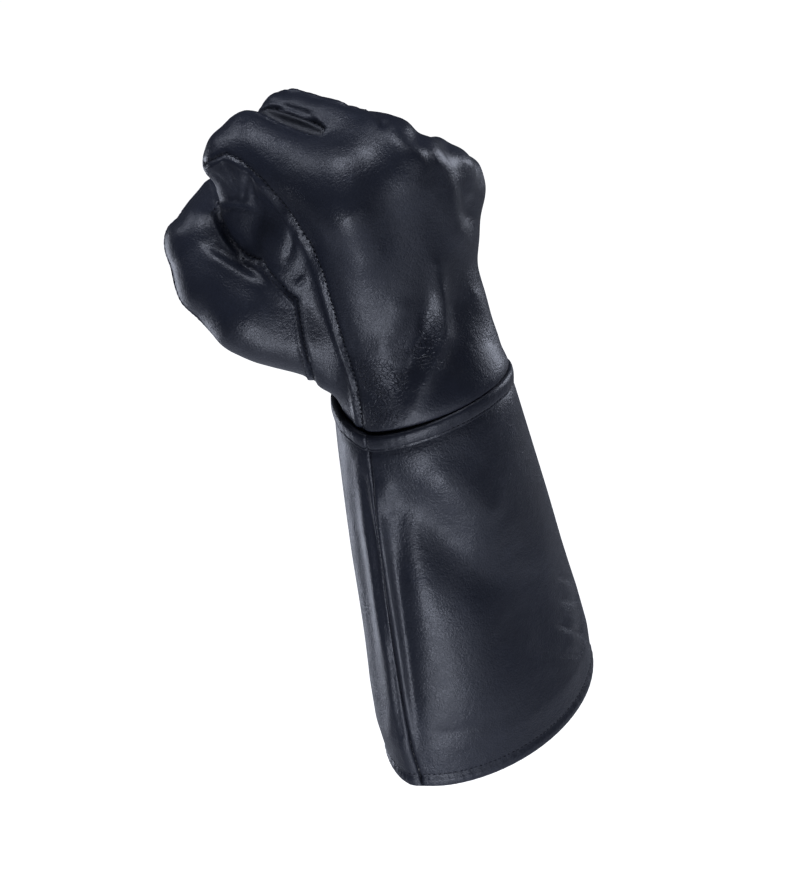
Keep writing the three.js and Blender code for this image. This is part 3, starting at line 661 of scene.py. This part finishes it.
def thicken(points, tris, normals, depth):
    """A closed wall: the surface, its copy moved in by a depth, and rims between their edges."""
    count = len(points)
    inner = points - normals * depth
    edges = edges_of(tris)
    code = edges[:, 0] * count + edges[:, 1]
    back = edges[:, 1] * count + edges[:, 0]
    rim = edges[~np.isin(code, back)]
    one = np.stack([rim[:, 1], rim[:, 0], rim[:, 0] + count], 1)
    two = np.stack([rim[:, 1], rim[:, 0] + count, rim[:, 1] + count], 1)
    faces = np.concatenate([tris, tris[:, ::-1] + count, one, two])
    return np.concatenate([points, inner]), faces


def compact(points, tris, extra):
    """Only the points that the triangles use, with their extra values."""
    used, index = np.unique(tris, return_inverse=True)
    return points[used], index.reshape(tris.shape), extra[used]


def grid_faces(rows, columns, closed=False):
    """Triangles of a grid of points, with rows joined round when closed."""
    r = np.arange(rows - 1)[:, None]
    c = np.arange(columns if closed else columns - 1)[None, :]
    n = (c + 1) % columns
    a, b = r * columns + c, r * columns + n
    d, e = (r + 1) * columns + c, (r + 1) * columns + n
    one = np.stack([a, d, e], -1).reshape(-1, 3)
    two = np.stack([a, e, b], -1).reshape(-1, 3)
    return np.concatenate([one, two])


def stitches(line, normals, size=(1.5, 0.5, 0.42), lean=0.0, lift=0.05):
    """Small rounded stitches along an evenly spaced line."""
    ways = unit(np.gradient(line, axis=0))
    out = unit(normals - (normals * ways).sum(1)[:, None] * ways)
    side = np.cross(out, ways)
    turn = math.radians(lean)
    along = ways * math.cos(turn) + side * math.sin(turn)
    across = np.cross(out, along)
    shape = [(-1.0, 0.0), (-0.72, 0.7), (0.0, 1.0), (0.72, 0.7), (1.0, 0.0)]
    around = [math.tau * i / 6 for i in range(6)]
    points, faces = [], []
    for middle, a, b, c in zip(line + out * lift, along, across, out):
        base = len(points)
        for t, r in shape:
            for angle in around:
                points.append(
                    middle + a * t * size[0] / 2
                    + b * r * math.cos(angle) * size[1] / 2
                    + c * r * math.sin(angle) * size[2] / 2
                )
        for ring in range(len(shape) - 1):
            for i in range(6):
                j = (i + 1) % 6
                p, q = base + ring * 6 + i, base + ring * 6 + j
                if ring > 0:
                    faces.append((p, q, q + 6))
                if ring < len(shape) - 2:
                    faces.append((p, q + 6, p + 6))
    return np.array(points), np.array(faces)


class Piece:
    """A node's visual mesh, gathered from parts with a material each."""

    def __init__(self, node, slot):
        self.node = node
        self.slot = slot
        self.points, self.faces, self.kinds = [], [], []
        self.count = 0

    def add(self, points, faces, kind=0):
        if not len(points):
            return
        self.points.append(points)
        self.faces.append(faces + self.count)
        self.kinds.append(np.full(len(faces), kind, np.int32))
        self.count += len(points)

    def build(self, materials):
        points = np.concatenate(self.points) * MM
        faces = np.concatenate(self.faces)
        kinds = np.concatenate(self.kinds)
        mesh = bpy.data.meshes.new(self.node + "_leather")
        mesh.vertices.add(len(points))
        mesh.vertices.foreach_set("co", points.astype(np.float32).ravel())
        mesh.loops.add(faces.size)
        mesh.loops.foreach_set("vertex_index", faces.astype(np.int32).ravel())
        mesh.polygons.add(len(faces))
        mesh.polygons.foreach_set("loop_start", np.arange(0, faces.size, 3, dtype=np.int32))
        mesh.polygons.foreach_set("loop_total", np.full(len(faces), 3, np.int32))
        mesh.polygons.foreach_set("material_index", kinds)
        mesh.polygons.foreach_set("use_smooth", np.ones(len(faces), bool))
        mesh.update()
        mesh.validate()
        for material in materials:
            mesh.materials.append(material)
        obj = bpy.data.objects.new(self.node + "_visual", mesh)
        bpy.context.scene.collection.objects.link(obj)
        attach(obj, "root")
        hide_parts(self.node)
        return obj


def band_height(x, y):
    """Height of the band's middle: lowest at the side seams, higher at the back and the palm."""
    back, palm = BAND_SLOPE_BACK * y, BAND_SLOPE_PALM * y
    return BAND_SLOPE_X * x - blend(-back, -palm, 1.2)


# The hand: surface, folds, panels and seams.
BACK, PALM, THUMB_LABEL = 0, 1, 2
hand_points, hand_tris = skin(hand_part, (-76, -46, -46), (70, 104, 140), GRID)

level = hand_points[:, 2] - band_height(hand_points[:, 0], hand_points[:, 1]) + TUCK_DEPTH
hand_points, level, _ = snap(hand_points, hand_tris, level)
hand_tris = hand_tris[faces_inside(hand_tris, level)]
hand_points, hand_tris, _ = compact(hand_points, hand_tris, np.zeros(len(hand_points)))
hand_normals = vertex_normals(hand_points, hand_tris)

visible = relax(hand_points, hand_tris, seen(hand_points, hand_normals), 5)
u, v, _ = photo_pixels(hand_points)

# Side seam: the photo's line where it is seen, the outline table elsewhere.
seam_seen = line_distance(u, v, SEAM_HAND) * PIXEL_MM
seam_table = palm_side(hand_points)
use_photo = smooth(0.25, 0.75, visible) * smooth(14.0, -6.0, hand_points[:, 0])
palm_value = seam_seen * use_photo + seam_table * (1.0 - use_photo)

# Thumb seam: a plane across the thumb, and the crease where the thumb meets the hand.
share, normal = THUMB_SEAM[0], np.array(THUMB_SEAM[1], float)
normal /= np.linalg.norm(normal)
thumb_at = THUMB_AT[0] + (THUMB_AT[1] - THUMB_AT[0]) * share
thumb_far = thumb_part(hand_points)
apart = (thumb_far - fingers_part(hand_points, False)) * 0.5
ahead = (hand_points - thumb_at) @ normal
thumb_value = np.minimum(-np.maximum(apart, thumb_far - THUMB_REACH), ahead)

hand_points, thumb_value, _ = snap(hand_points, hand_tris, thumb_value)
hand_points, palm_value, _ = snap(hand_points, hand_tris, palm_value)

in_thumb = faces_inside(hand_tris, thumb_value)
in_palm = faces_inside(hand_tris, palm_value)
labels = np.where(in_thumb, THUMB_LABEL, np.where(in_palm, PALM, BACK))
strip_values = []
for number, strip in enumerate(STRIPS):
    value = np.minimum(strip_side(hand_points, strip), -palm_value)
    value = np.minimum(value, -thumb_value)
    hand_points, value, _ = snap(hand_points, hand_tris, value)
    inside = faces_inside(hand_tris, value) & (labels == BACK)
    labels = np.where(inside, 3 + number, labels)
    strip_values.append(value)
labels = drop_islands(hand_tris, labels)

# The back of the hand is drawn taut over the knuckles, away from the seams and the side strips.
taut = smooth(-2.0, -8.0, palm_value) * smooth(20.0, 34.0, hand_points[:, 2])
for value in strip_values:
    taut *= smooth(-1.5, -6.0, value)
taut_normals = vertex_normals(hand_points, hand_tris)
hand_points = relax(hand_points, hand_tris, hand_points, 60, taut[:, None])
hand_points = hand_points + taut_normals * (0.6 * taut)[:, None]

# Seam lips and grooves, then the folds, as heights along the surface's own direction.
hand_normals = vertex_normals(hand_points, hand_tris)
visible = relax(hand_points, hand_tris, seen(hand_points, hand_normals), 4)


def seam_profile(value, groove, lip, lip_at=1.7, wide=0.75):
    """Height beside a seam: a groove on the seam and a lip on the side where the value is more than 0."""
    line = -groove * np.exp(-((value / wide) ** 2))
    edge = lip * np.exp(-(((value - lip_at) / (wide * 1.1)) ** 2))
    return line + edge


not_thumb = smooth(0.0, -2.0, thumb_value)
height = seam_profile(palm_value, 1.0, 0.75, 1.9) * not_thumb
height += seam_profile(thumb_value, 0.9, 0.8) * smooth(-30.0, 5.0, ahead + 20.0)
on_top = 0.2 + 0.8 * smooth(56.0, 44.0, hand_points[:, 1])
for value in strip_values:
    height += seam_profile(-value, 0.8, 1.2, 1.3, 0.6) * smooth(0.0, -3.0, palm_value) * on_top
    height -= 1.5 * smooth(0.0, 2.0, value) * on_top
height += apply_folds(hand_points, hand_normals, HAND_FOLDS, visible)
height += shape_outline(hand_points, hand_normals, HAND_OUTLINE)

# Above the band the back of the hand spreads to meet it. On the palm side it stays clear.
rise = hand_points[:, 2] - band_height(hand_points[:, 0], hand_points[:, 1])
angle = np.arctan2(hand_points[:, 1], hand_points[:, 0])
inner = 1.0 / np.hypot(np.cos(angle) / BAND_INNER[0], np.sin(angle) / BAND_INNER[1])
reach = inner - 0.6 + 2.9 * smooth(3.2, 5.6, rise) - np.hypot(hand_points[:, 0], hand_points[:, 1])
back_side = smooth(0.45, -0.2, np.sin(angle))
spread = np.clip(reach, -2.0, 9.0) * np.exp(-(np.clip(rise - 5.0, 0.0, 99.0) / 13.0) ** 2) * back_side
spread *= smooth(-4.5, 0.5, rise)
flat_normals = hand_normals * np.array([1.0, 1.0, 0.0])
height = relax(hand_points, hand_tris, height, 1)
hand_points = hand_points + hand_normals * height[:, None] + flat_normals * spread[:, None]
hand_normals = vertex_normals(hand_points, hand_tris)

# Pieces of the glove, a node each.
pieces = {
    "back_panel": Piece("back_panel", "hand_leather"),
    "palm_panel": Piece("palm_panel", "hand_leather"),
    "thumb": Piece("thumb", "hand_leather"),
    "wrist_band": Piece("wrist_band", "band_leather"),
    "cuff_back_panel": Piece("cuff_back_panel", "cuff_leather"),
    "cuff_palm_panel": Piece("cuff_palm_panel", "cuff_leather"),
}
for strip in STRIPS:
    pieces[strip[0]] = Piece(strip[0], "strip_leather")
PANEL_NODES = ["back_panel", "palm_panel", "thumb"] + [strip[0] for strip in STRIPS]
for number, node in enumerate(PANEL_NODES):
    faces = hand_tris[labels == number]
    points, faces, normals = compact(hand_points, faces, hand_normals)
    pieces[node].add(*thicken(points, faces, normals, LEATHER))


def sew_border(first, second, node, spacing, lean, shift=0.0, size=(1.45, 0.55, 0.45), shortest=12):
    """Stitches along the border of two panels, moved sideways on the surface by a shift."""
    for line in label_chains(hand_tris, labels, first, second):
        if len(line) < shortest:
            continue
        spots = even_line(hand_points[line], spacing)
        normals = even_line(hand_normals[line], spacing, 6)
        normals = np.stack([np.interp(np.linspace(0, 1, len(spots)), np.linspace(0, 1, len(normals)),
                                      normals[:, i]) for i in range(3)], 1)
        normals /= np.linalg.norm(normals, axis=1)[:, None]
        side = np.cross(normals, unit(np.gradient(spots, axis=0)))
        found, aims = [], []
        for spot, aim in zip(spots + side * shift, normals):
            hit = hand_tree.ray_cast(Vector(spot + aim * 4.0), Vector(-aim), 8.0)
            if hit[0] is None:
                continue
            found.append(hit[0])
            aims.append(hit[1])
        if len(found) > 3:
            pieces[node].add(*stitches(np.array(found), np.array(aims), size, lean), kind=1)


hand_tree = BVHTree.FromPolygons(hand_points.tolist(), hand_tris.tolist())
sew_border(BACK, PALM, "palm_panel", 2.05, 32.0, size=(1.75, 0.7, 0.6))
sew_border(THUMB_LABEL, PALM, "palm_panel", 2.1, 0.0, shift=1.9)
sew_border(THUMB_LABEL, PALM, "palm_panel", 2.1, 20.0)
for number, strip in enumerate(STRIPS):
    sew_border(BACK, 3 + number, strip[0], 2.0, 20.0, size=(1.2, 0.4, 0.35))

# The cuff: two panels that meet at the side seams, each with a turned hem.
def cuff_value(column, z):
    return np.interp(-z, -CUFF_ROWS[:, 0], CUFF_ROWS[:, column])


def cuff_surface(degrees, z):
    """Points of the cuff's outer side and the direction out of it."""
    angle = np.radians(degrees)
    half_x, half_y, mid_x, mid_y, corner = (cuff_value(i, z) for i in range(1, 6))
    sine = np.sin(angle)
    flat = np.sign(sine) * np.abs(sine) ** corner
    nx, ny = np.cos(angle) / half_x, sine / half_y
    size = np.hypot(nx, ny)
    depth = np.zeros_like(z)
    for at, height, wide, high, deep in CUFF_FOLDS:
        apart = np.abs(degrees - at) % 360
        apart = np.minimum(apart, 360 - apart)
        depth += deep * np.exp(-((apart / wide) ** 2) - ((z - height) / high) ** 2)
    depth *= np.clip(-z / FOLD_FADE, 0.0, 1.0)
    x = mid_x + half_x * np.cos(angle) + nx / size * depth
    y = mid_y + half_y * flat + ny / size * depth
    out = np.stack([nx / size, ny / size, np.zeros_like(z)], -1)
    return np.stack([x, y, z], -1), out


def seam_degrees(share):
    """Angle of the thumb-side seam down the cuff."""
    return CUFF_SEAM[0] + (CUFF_SEAM[1] - CUFF_SEAM[0]) * share


def cuff_panel(first, last, columns):
    """Outer side of one cuff panel, round its hem and a little way up inside."""
    rows = int(-HEM_BOTTOM / CUFF_STEP)
    share = np.linspace(0.0, 1.0, rows)[:, None] * np.ones((1, columns))
    t = np.linspace(0.0, 1.0, columns)[None, :] * np.ones((rows, 1))
    degrees = first(share) + (last(share) - first(share)) * t
    angle = np.radians(degrees)
    band_x, band_y = BAND_INNER[0] * np.cos(angle), BAND_INNER[1] * np.sin(angle)
    top = band_height(band_x, band_y) - BAND_HEIGHT / 2 + 0.2
    z = top + (HEM_BOTTOM + HEM_RADIUS - top) * share
    points, out = cuff_surface(degrees, z)
    points[..., 2] = z
    up = z - HEM_BOTTOM
    lift = -0.55 * np.exp(-(((up - HEM_HEIGHT) / 0.7) ** 2))
    lift += 0.5 * smooth(HEM_HEIGHT, HEM_HEIGHT - 1.6, up)
    lift -= 0.7 * np.exp(-(((top - z) / 3.0) ** 2))
    ripple = 0.12 * np.sin(degrees * 2.9 + 1.3 * np.sin(degrees * 0.31))
    lift += ripple * smooth(9.0, 5.0, up) * smooth(0.5, 3.0, up)
    points = points + out * lift[..., None]
    edge, edge_out = points[-1], out[-1]
    turn = [points]
    for step in range(1, 9):
        bend = math.pi * step / 8
        drop = HEM_RADIUS * math.sin(bend)
        back = HEM_RADIUS * (1 - math.cos(bend))
        turn.append((edge - edge_out * back - np.array([0, 0, drop]))[None])
    for step in range(1, 8):
        climb = HEM_HEIGHT * step / 7
        inside, inside_out = cuff_surface(degrees[-1], np.full(columns, HEM_BOTTOM + HEM_RADIUS + climb))
        turn.append((inside - inside_out * (2 * HEM_RADIUS - 0.45))[None])
    return np.concatenate(turn), degrees, z




def add_cuff(node, first, last, columns):
    grid, degrees, z = cuff_panel(first, last, columns)
    rows = grid.shape[0]
    points = grid.reshape(-1, 3)
    faces = grid_faces(rows, columns)
    normals = vertex_normals(points, faces)
    main = degrees.shape[0]
    beside = np.minimum(np.arange(columns), np.arange(columns)[::-1]) * np.ones((rows, 1)) * CUFF_STEP
    fall = -0.8 * np.exp(-((beside / 0.9) ** 2)).reshape(-1)
    fall[main * columns:] = 0.0
    marks = apply_folds(points, normals, CUFF_MARKS, smooth(0.05, 0.35, normals @ TO_CAMERA))
    marks[main * columns:] = 0.0
    points = points + normals * (fall + marks)[:, None]
    normals = vertex_normals(points, faces)
    pieces[node].add(*thicken(points, faces, normals, LEATHER - 0.1))
    return points.reshape(rows, columns, 3), normals.reshape(rows, columns, 3), main


def little_side(share):
    """Angle of the seam on the little finger's side, where the palm panel starts."""
    return share * 0.0


def little_side_round(share):
    """The same seam one turn on, where the back panel ends."""
    return share * 0.0 + 360.0


cuff_back = add_cuff("cuff_back_panel", seam_degrees, little_side_round, 118)
cuff_palm = add_cuff("cuff_palm_panel", little_side, seam_degrees, 130)


def sew_grid(node, line, normals, spacing, lean, size=(1.4, 0.5, 0.42)):
    """Stitches along a line of surface points."""
    spots = even_line(line, spacing, 2)
    aims = even_line(normals, 0.01, 2)
    pick = np.linspace(0, len(aims) - 1, len(spots)).astype(int)
    pieces[node].add(*stitches(spots, aims[pick], size, lean), kind=1)


for node, (points, normals, main) in (("cuff_back_panel", cuff_back), ("cuff_palm_panel", cuff_palm)):
    row = int(np.argmin(np.abs(points[:main, 0, 2] - HEM_BOTTOM - HEM_HEIGHT)))
    sew_grid(node, points[row], normals[row], 2.1, 0.0)
sew_grid("cuff_palm_panel", cuff_palm[0][2:cuff_palm[2], -1], cuff_palm[1][2:cuff_palm[2], -2], 2.0, 28.0)
sew_grid("cuff_palm_panel", cuff_palm[0][2:cuff_palm[2], 0], cuff_palm[1][2:cuff_palm[2], 1], 2.0, 28.0)

# The wrist band: a folded strip swept round the wrist.
angles = np.linspace(0.0, math.tau, BAND_COLUMNS, endpoint=False)
ring_x, ring_y = BAND_INNER[0] * np.cos(angles), BAND_INNER[1] * np.sin(angles)
out_x, out_y = np.cos(angles) / BAND_HALF[0], np.sin(angles) / BAND_HALF[1]
size = np.hypot(out_x, out_y)
out_x, out_y = out_x / size, out_y / size
pucker = 0.04 * np.sin(angles * 57 + 2.0 * np.sin(angles * 7)) + 0.06 * np.sin(angles * 19 + 1.0)
seam_dip = np.exp(-((np.abs(angles - math.pi) / 0.018) ** 2))
rows = []
for out, up in reversed(BAND_SECTION):
    soft = pucker * (0.5 + 0.5 * (up < 0)) * (out > 1.0)
    wide = out + soft - 0.7 * seam_dip * (out > 1.0)
    height = band_height(ring_x, ring_y) + up + 0.25 * np.sin(angles * 3 + 0.6)
    rows.append(np.stack([ring_x + out_x * wide, ring_y + out_y * wide, height], 1))
rows.append(rows[0])
band_grid = np.stack(rows)
band_points = band_grid[:-1].reshape(-1, 3)
band_faces = grid_faces(len(BAND_SECTION) + 1, BAND_COLUMNS, closed=True) % len(band_points)
pieces["wrist_band"].add(band_points, band_faces)
band_line = np.stack([ring_x + out_x * 2.85, ring_y + out_y * 2.85, band_height(ring_x, ring_y) - 2.5], 1)
band_line = np.concatenate([band_line, band_line[:1]])
band_aims = np.stack([out_x, out_y, np.full(len(out_x), -0.35)], 1)
band_aims = np.concatenate([band_aims, band_aims[:1]])
sew_grid("wrist_band", band_line, band_aims / np.linalg.norm(band_aims, axis=1)[:, None], 2.1, 0.0)


class Nodes:
    """Short helper that builds a material's node tree."""

    def __init__(self, name):
        self.material = bpy.data.materials.new(name)
        self.material.use_nodes = True
        self.tree = self.material.node_tree
        self.tree.nodes.clear()
        self.output = self.new("ShaderNodeOutputMaterial")
        self.shader = self.new("ShaderNodeBsdfPrincipled")
        self.link(self.shader.outputs["BSDF"], self.output.inputs["Surface"])
        self.place = self.new("ShaderNodeTexCoord").outputs["Object"]

    def new(self, kind, **settings):
        node = self.tree.nodes.new(kind)
        for key, value in settings.items():
            setattr(node, key, value)
        return node

    def link(self, start, end):
        self.tree.links.new(start, end)

    def noise(self, scale, detail=3.0, roughness=0.55, place=None):
        node = self.new("ShaderNodeTexNoise")
        node.inputs["Scale"].default_value = scale
        node.inputs["Detail"].default_value = detail
        node.inputs["Roughness"].default_value = roughness
        self.link(place or self.place, node.inputs["Vector"])
        return node.outputs["Fac"]

    def cells(self, scale, place=None, feature="DISTANCE_TO_EDGE"):
        node = self.new("ShaderNodeTexVoronoi", feature=feature)
        node.inputs["Scale"].default_value = scale
        self.link(place or self.place, node.inputs["Vector"])
        return node.outputs["Distance"]

    def ramp(self, value, low, high, start=0.0, end=1.0):
        node = self.new("ShaderNodeMapRange")
        node.inputs["From Min"].default_value = low
        node.inputs["From Max"].default_value = high
        node.inputs["To Min"].default_value = start
        node.inputs["To Max"].default_value = end
        self.link(value, node.inputs["Value"])
        return node.outputs["Result"]

    def math(self, operation, first, second):
        node = self.new("ShaderNodeMath", operation=operation)
        for socket, value in zip(node.inputs, (first, second)):
            if isinstance(value, (int, float)):
                socket.default_value = value
            else:
                self.link(value, socket)
        return node.outputs["Value"]

    def mix(self, factor, first, second):
        node = self.new("ShaderNodeMix", data_type="RGBA")
        self.link(factor, node.inputs["Factor"])
        for name, value in (("A", first), ("B", second)):
            socket = [s for s in node.inputs if s.name == name and s.type == "RGBA"][0]
            if isinstance(value, tuple):
                socket.default_value = value + (1.0,)
            else:
                self.link(value, socket)
        return [s for s in node.outputs if s.type == "RGBA"][0]

    def bump(self, height, strength, distance, normal=None):
        node = self.new("ShaderNodeBump")
        node.inputs["Strength"].default_value = strength
        node.inputs["Distance"].default_value = distance
        self.link(height, node.inputs["Height"])
        if normal:
            self.link(normal, node.inputs["Normal"])
        return node.outputs["Normal"]


def near(nodes, middle, radius):
    """1 at a place given in millimetres, fading to 0 at a radius."""
    node = nodes.new("ShaderNodeVectorMath", operation="DISTANCE")
    nodes.link(nodes.place, node.inputs[0])
    node.inputs[1].default_value = tuple(value * MM for value in middle)
    return nodes.ramp(node.outputs["Value"], radius * 0.35 * MM, radius * MM, 1.0, 0.0)


def leather(name, tone, roughness=0.40, wrinkles=(), grain=1.0):
    """Smooth satin leather with fine grain, uneven dye, creased areas and dull wear."""
    nodes = Nodes(name)
    cloud = nodes.noise(22.0, 4.0)
    speckle = nodes.noise(1500.0, 2.0, 0.7)
    light = tuple(c * 1.32 for c in tone)
    dark = tuple(c * 0.72 for c in tone)
    colour = nodes.mix(nodes.ramp(cloud, 0.3, 0.7), dark, light)
    pore = nodes.ramp(speckle, 0.36, 0.66)
    colour = nodes.mix(pore, tuple(c * 0.82 for c in tone), colour)
    scuff = nodes.ramp(nodes.noise(90.0, 6.0, 0.7), 0.58, 0.74)
    colour = nodes.mix(nodes.math("MULTIPLY", scuff, 0.22), colour, tuple(c * 2.1 + 0.004 for c in tone))
    nodes.link(colour, nodes.shader.inputs["Base Color"])
    sheen = nodes.ramp(nodes.noise(55.0, 4.0), 0.3, 0.7, roughness - 0.05, roughness + 0.07)
    rough = nodes.math("ADD", sheen, nodes.ramp(speckle, 0.3, 0.7, 0.05, -0.04))
    rough = nodes.math("ADD", rough, nodes.math("MULTIPLY", scuff, 0.06))
    nodes.link(rough, nodes.shader.inputs["Roughness"])
    nodes.shader.inputs["Specular IOR Level"].default_value = 0.5
    nodes.shader.inputs["Coat Weight"].default_value = 0.06
    nodes.shader.inputs["Coat Roughness"].default_value = 0.28
    fine = nodes.ramp(nodes.cells(1500.0), 0.0, 0.35)
    broad = nodes.ramp(nodes.cells(620.0), 0.0, 0.3)
    normal = nodes.bump(fine, 0.26 * grain, 0.00014)
    normal = nodes.bump(broad, 0.22 * grain, 0.00022, normal)
    normal = nodes.bump(nodes.noise(260.0, 5.0, 0.65), 0.28 * grain, 0.0006, normal)
    normal = nodes.bump(nodes.noise(42.0, 3.0), 0.3, 0.003, normal)
    if wrinkles:
        area = None
        for middle, radius in wrinkles:
            one = near(nodes, middle, radius)
            area = one if area is None else nodes.math("MAXIMUM", area, one)
        warp = nodes.new("ShaderNodeVectorMath", operation="ADD")
        shift = nodes.new("ShaderNodeTexNoise")
        shift.inputs["Scale"].default_value = 120.0
        nodes.link(nodes.place, shift.inputs["Vector"])
        amount = nodes.new("ShaderNodeVectorMath", operation="SCALE")
        amount.inputs["Scale"].default_value = 0.006
        nodes.link(shift.outputs["Color"], amount.inputs[0])
        nodes.link(nodes.place, warp.inputs[0])
        nodes.link(amount.outputs["Vector"], warp.inputs[1])
        crack = nodes.ramp(nodes.cells(620.0, warp.outputs["Vector"]), 0.0, 0.10)
        area = nodes.math("MULTIPLY", area, nodes.ramp(nodes.noise(130.0, 3.0), 0.38, 0.62))
        crack = nodes.math("MULTIPLY", nodes.math("SUBTRACT", 1.0, crack), area)
        normal = nodes.bump(nodes.math("SUBTRACT", 1.0, crack), 0.8, 0.0004, normal)
    nodes.link(normal, nodes.shader.inputs["Normal"])
    return nodes.material


def thread(name, tone):
    """Matt waxed thread, slightly lighter than the leather."""
    nodes = Nodes(name)
    colour = nodes.mix(nodes.noise(2600.0), tuple(c * 0.75 for c in tone), tuple(c * 1.3 for c in tone))
    nodes.link(colour, nodes.shader.inputs["Base Color"])
    nodes.link(nodes.ramp(nodes.noise(900.0), 0.3, 0.7, 0.5, 0.68), nodes.shader.inputs["Roughness"])
    nodes.link(nodes.bump(nodes.noise(3600.0), 0.4, 0.0002), nodes.shader.inputs["Normal"])
    return nodes.material


hand_leather = leather("hand_leather", TONE, 0.375, wrinkles=CREASED)
# The side strips are the same leather with its colour darkened to 0.6 of the tone: painted shade of the
# narrow slots between the fingers.
strip_leather = leather("strip_leather", tuple(c * 0.6 for c in TONE), 0.5)
band_leather = leather("band_leather", tuple(c * 0.92 for c in TONE), 0.38)
cuff_leather = leather("cuff_leather", TONE, 0.39, wrinkles=CUFF_CREASED, grain=1.15)
seam_thread = thread("seam_thread", (0.016, 0.018, 0.026))
LOOKS = {"hand_leather": hand_leather, "strip_leather": strip_leather,
         "band_leather": band_leather, "cuff_leather": cuff_leather}
for piece in pieces.values():
    piece.build([LOOKS[piece.slot], seam_thread])

# Floor, camera and light.
floor_mesh = bpy.data.meshes.new("floor")
corners = [(x * FLOOR_HALF, y * FLOOR_HALF, FLOOR_Z) for x, y in ((-1, -1), (1, -1), (1, 1), (-1, 1))]
floor_mesh.from_pydata(corners, [], [(0, 1, 2, 3)])
floor = bpy.data.objects.new("floor", floor_mesh)
bpy.context.scene.collection.objects.link(floor)
paper = Nodes("pale_floor")
shade = paper.mix(paper.noise(3.0), (0.86, 0.86, 0.87), (0.90, 0.90, 0.91))
paper.link(shade, paper.shader.inputs["Base Color"])
paper.shader.inputs["Roughness"].default_value = 0.9
paper.shader.inputs["Emission Color"].default_value = (1.0, 1.0, 1.0, 1.0)
paper.link(
    paper.math("MULTIPLY", paper.new("ShaderNodeLightPath").outputs["Is Camera Ray"], FLOOR_GLOW),
    paper.shader.inputs["Emission Strength"],
)
paper.link(paper.bump(paper.noise(400.0), 0.1, 0.0005), paper.shader.inputs["Normal"])
floor_mesh.materials.append(paper.material)

camera_data = bpy.data.cameras.new("photo_camera")
camera_data.sensor_fit = "AUTO"
camera_data.sensor_width = 36.0
camera_data.lens = 36.0 * CAMERA_MM / (IMAGE_H * PIXEL_MM)
camera_data.clip_start, camera_data.clip_end = 0.05, 60.0
camera = bpy.data.objects.new("photo_camera", camera_data)
bpy.context.scene.collection.objects.link(camera)
axes = np.column_stack([RIGHT, UP, TO_CAMERA, CAMERA_AT * MM])
camera.matrix_world = Matrix(axes.tolist() + [[0.0, 0.0, 0.0, 1.0]])
bpy.context.scene.camera = camera


def soft_light(name, aim, distance, size, power):
    """A softbox: its direction from the object in camera axes (right, up, towards)."""
    way = RIGHT * aim[0] + UP * aim[1] + TO_CAMERA * aim[2]
    way /= np.linalg.norm(way)
    data = bpy.data.lights.new(name, "AREA")
    data.shape = "RECTANGLE"
    data.size, data.size_y = size
    data.energy = power
    data.color = LIGHT_TINT
    light = bpy.data.objects.new(name, data)
    bpy.context.scene.collection.objects.link(light)
    at = Vector(way * distance) + Vector((0, 0, LIGHT_LOWER))
    light.location = at
    light.rotation_euler = (-at).to_track_quat("-Z", "Y").to_euler()


for row in LIGHTS:
    soft_light(*row)
world = bpy.data.worlds.new("studio")
world.use_nodes = True
background = world.node_tree.nodes["Background"]
background.inputs["Color"].default_value = (0.93, 0.95, 1.0, 1.0)
background.inputs["Strength"].default_value = WORLD_LIGHT
bpy.context.scene.world = world
bpy.context.scene.view_settings.view_transform = "Standard"
bpy.context.scene.view_settings.look = "None"
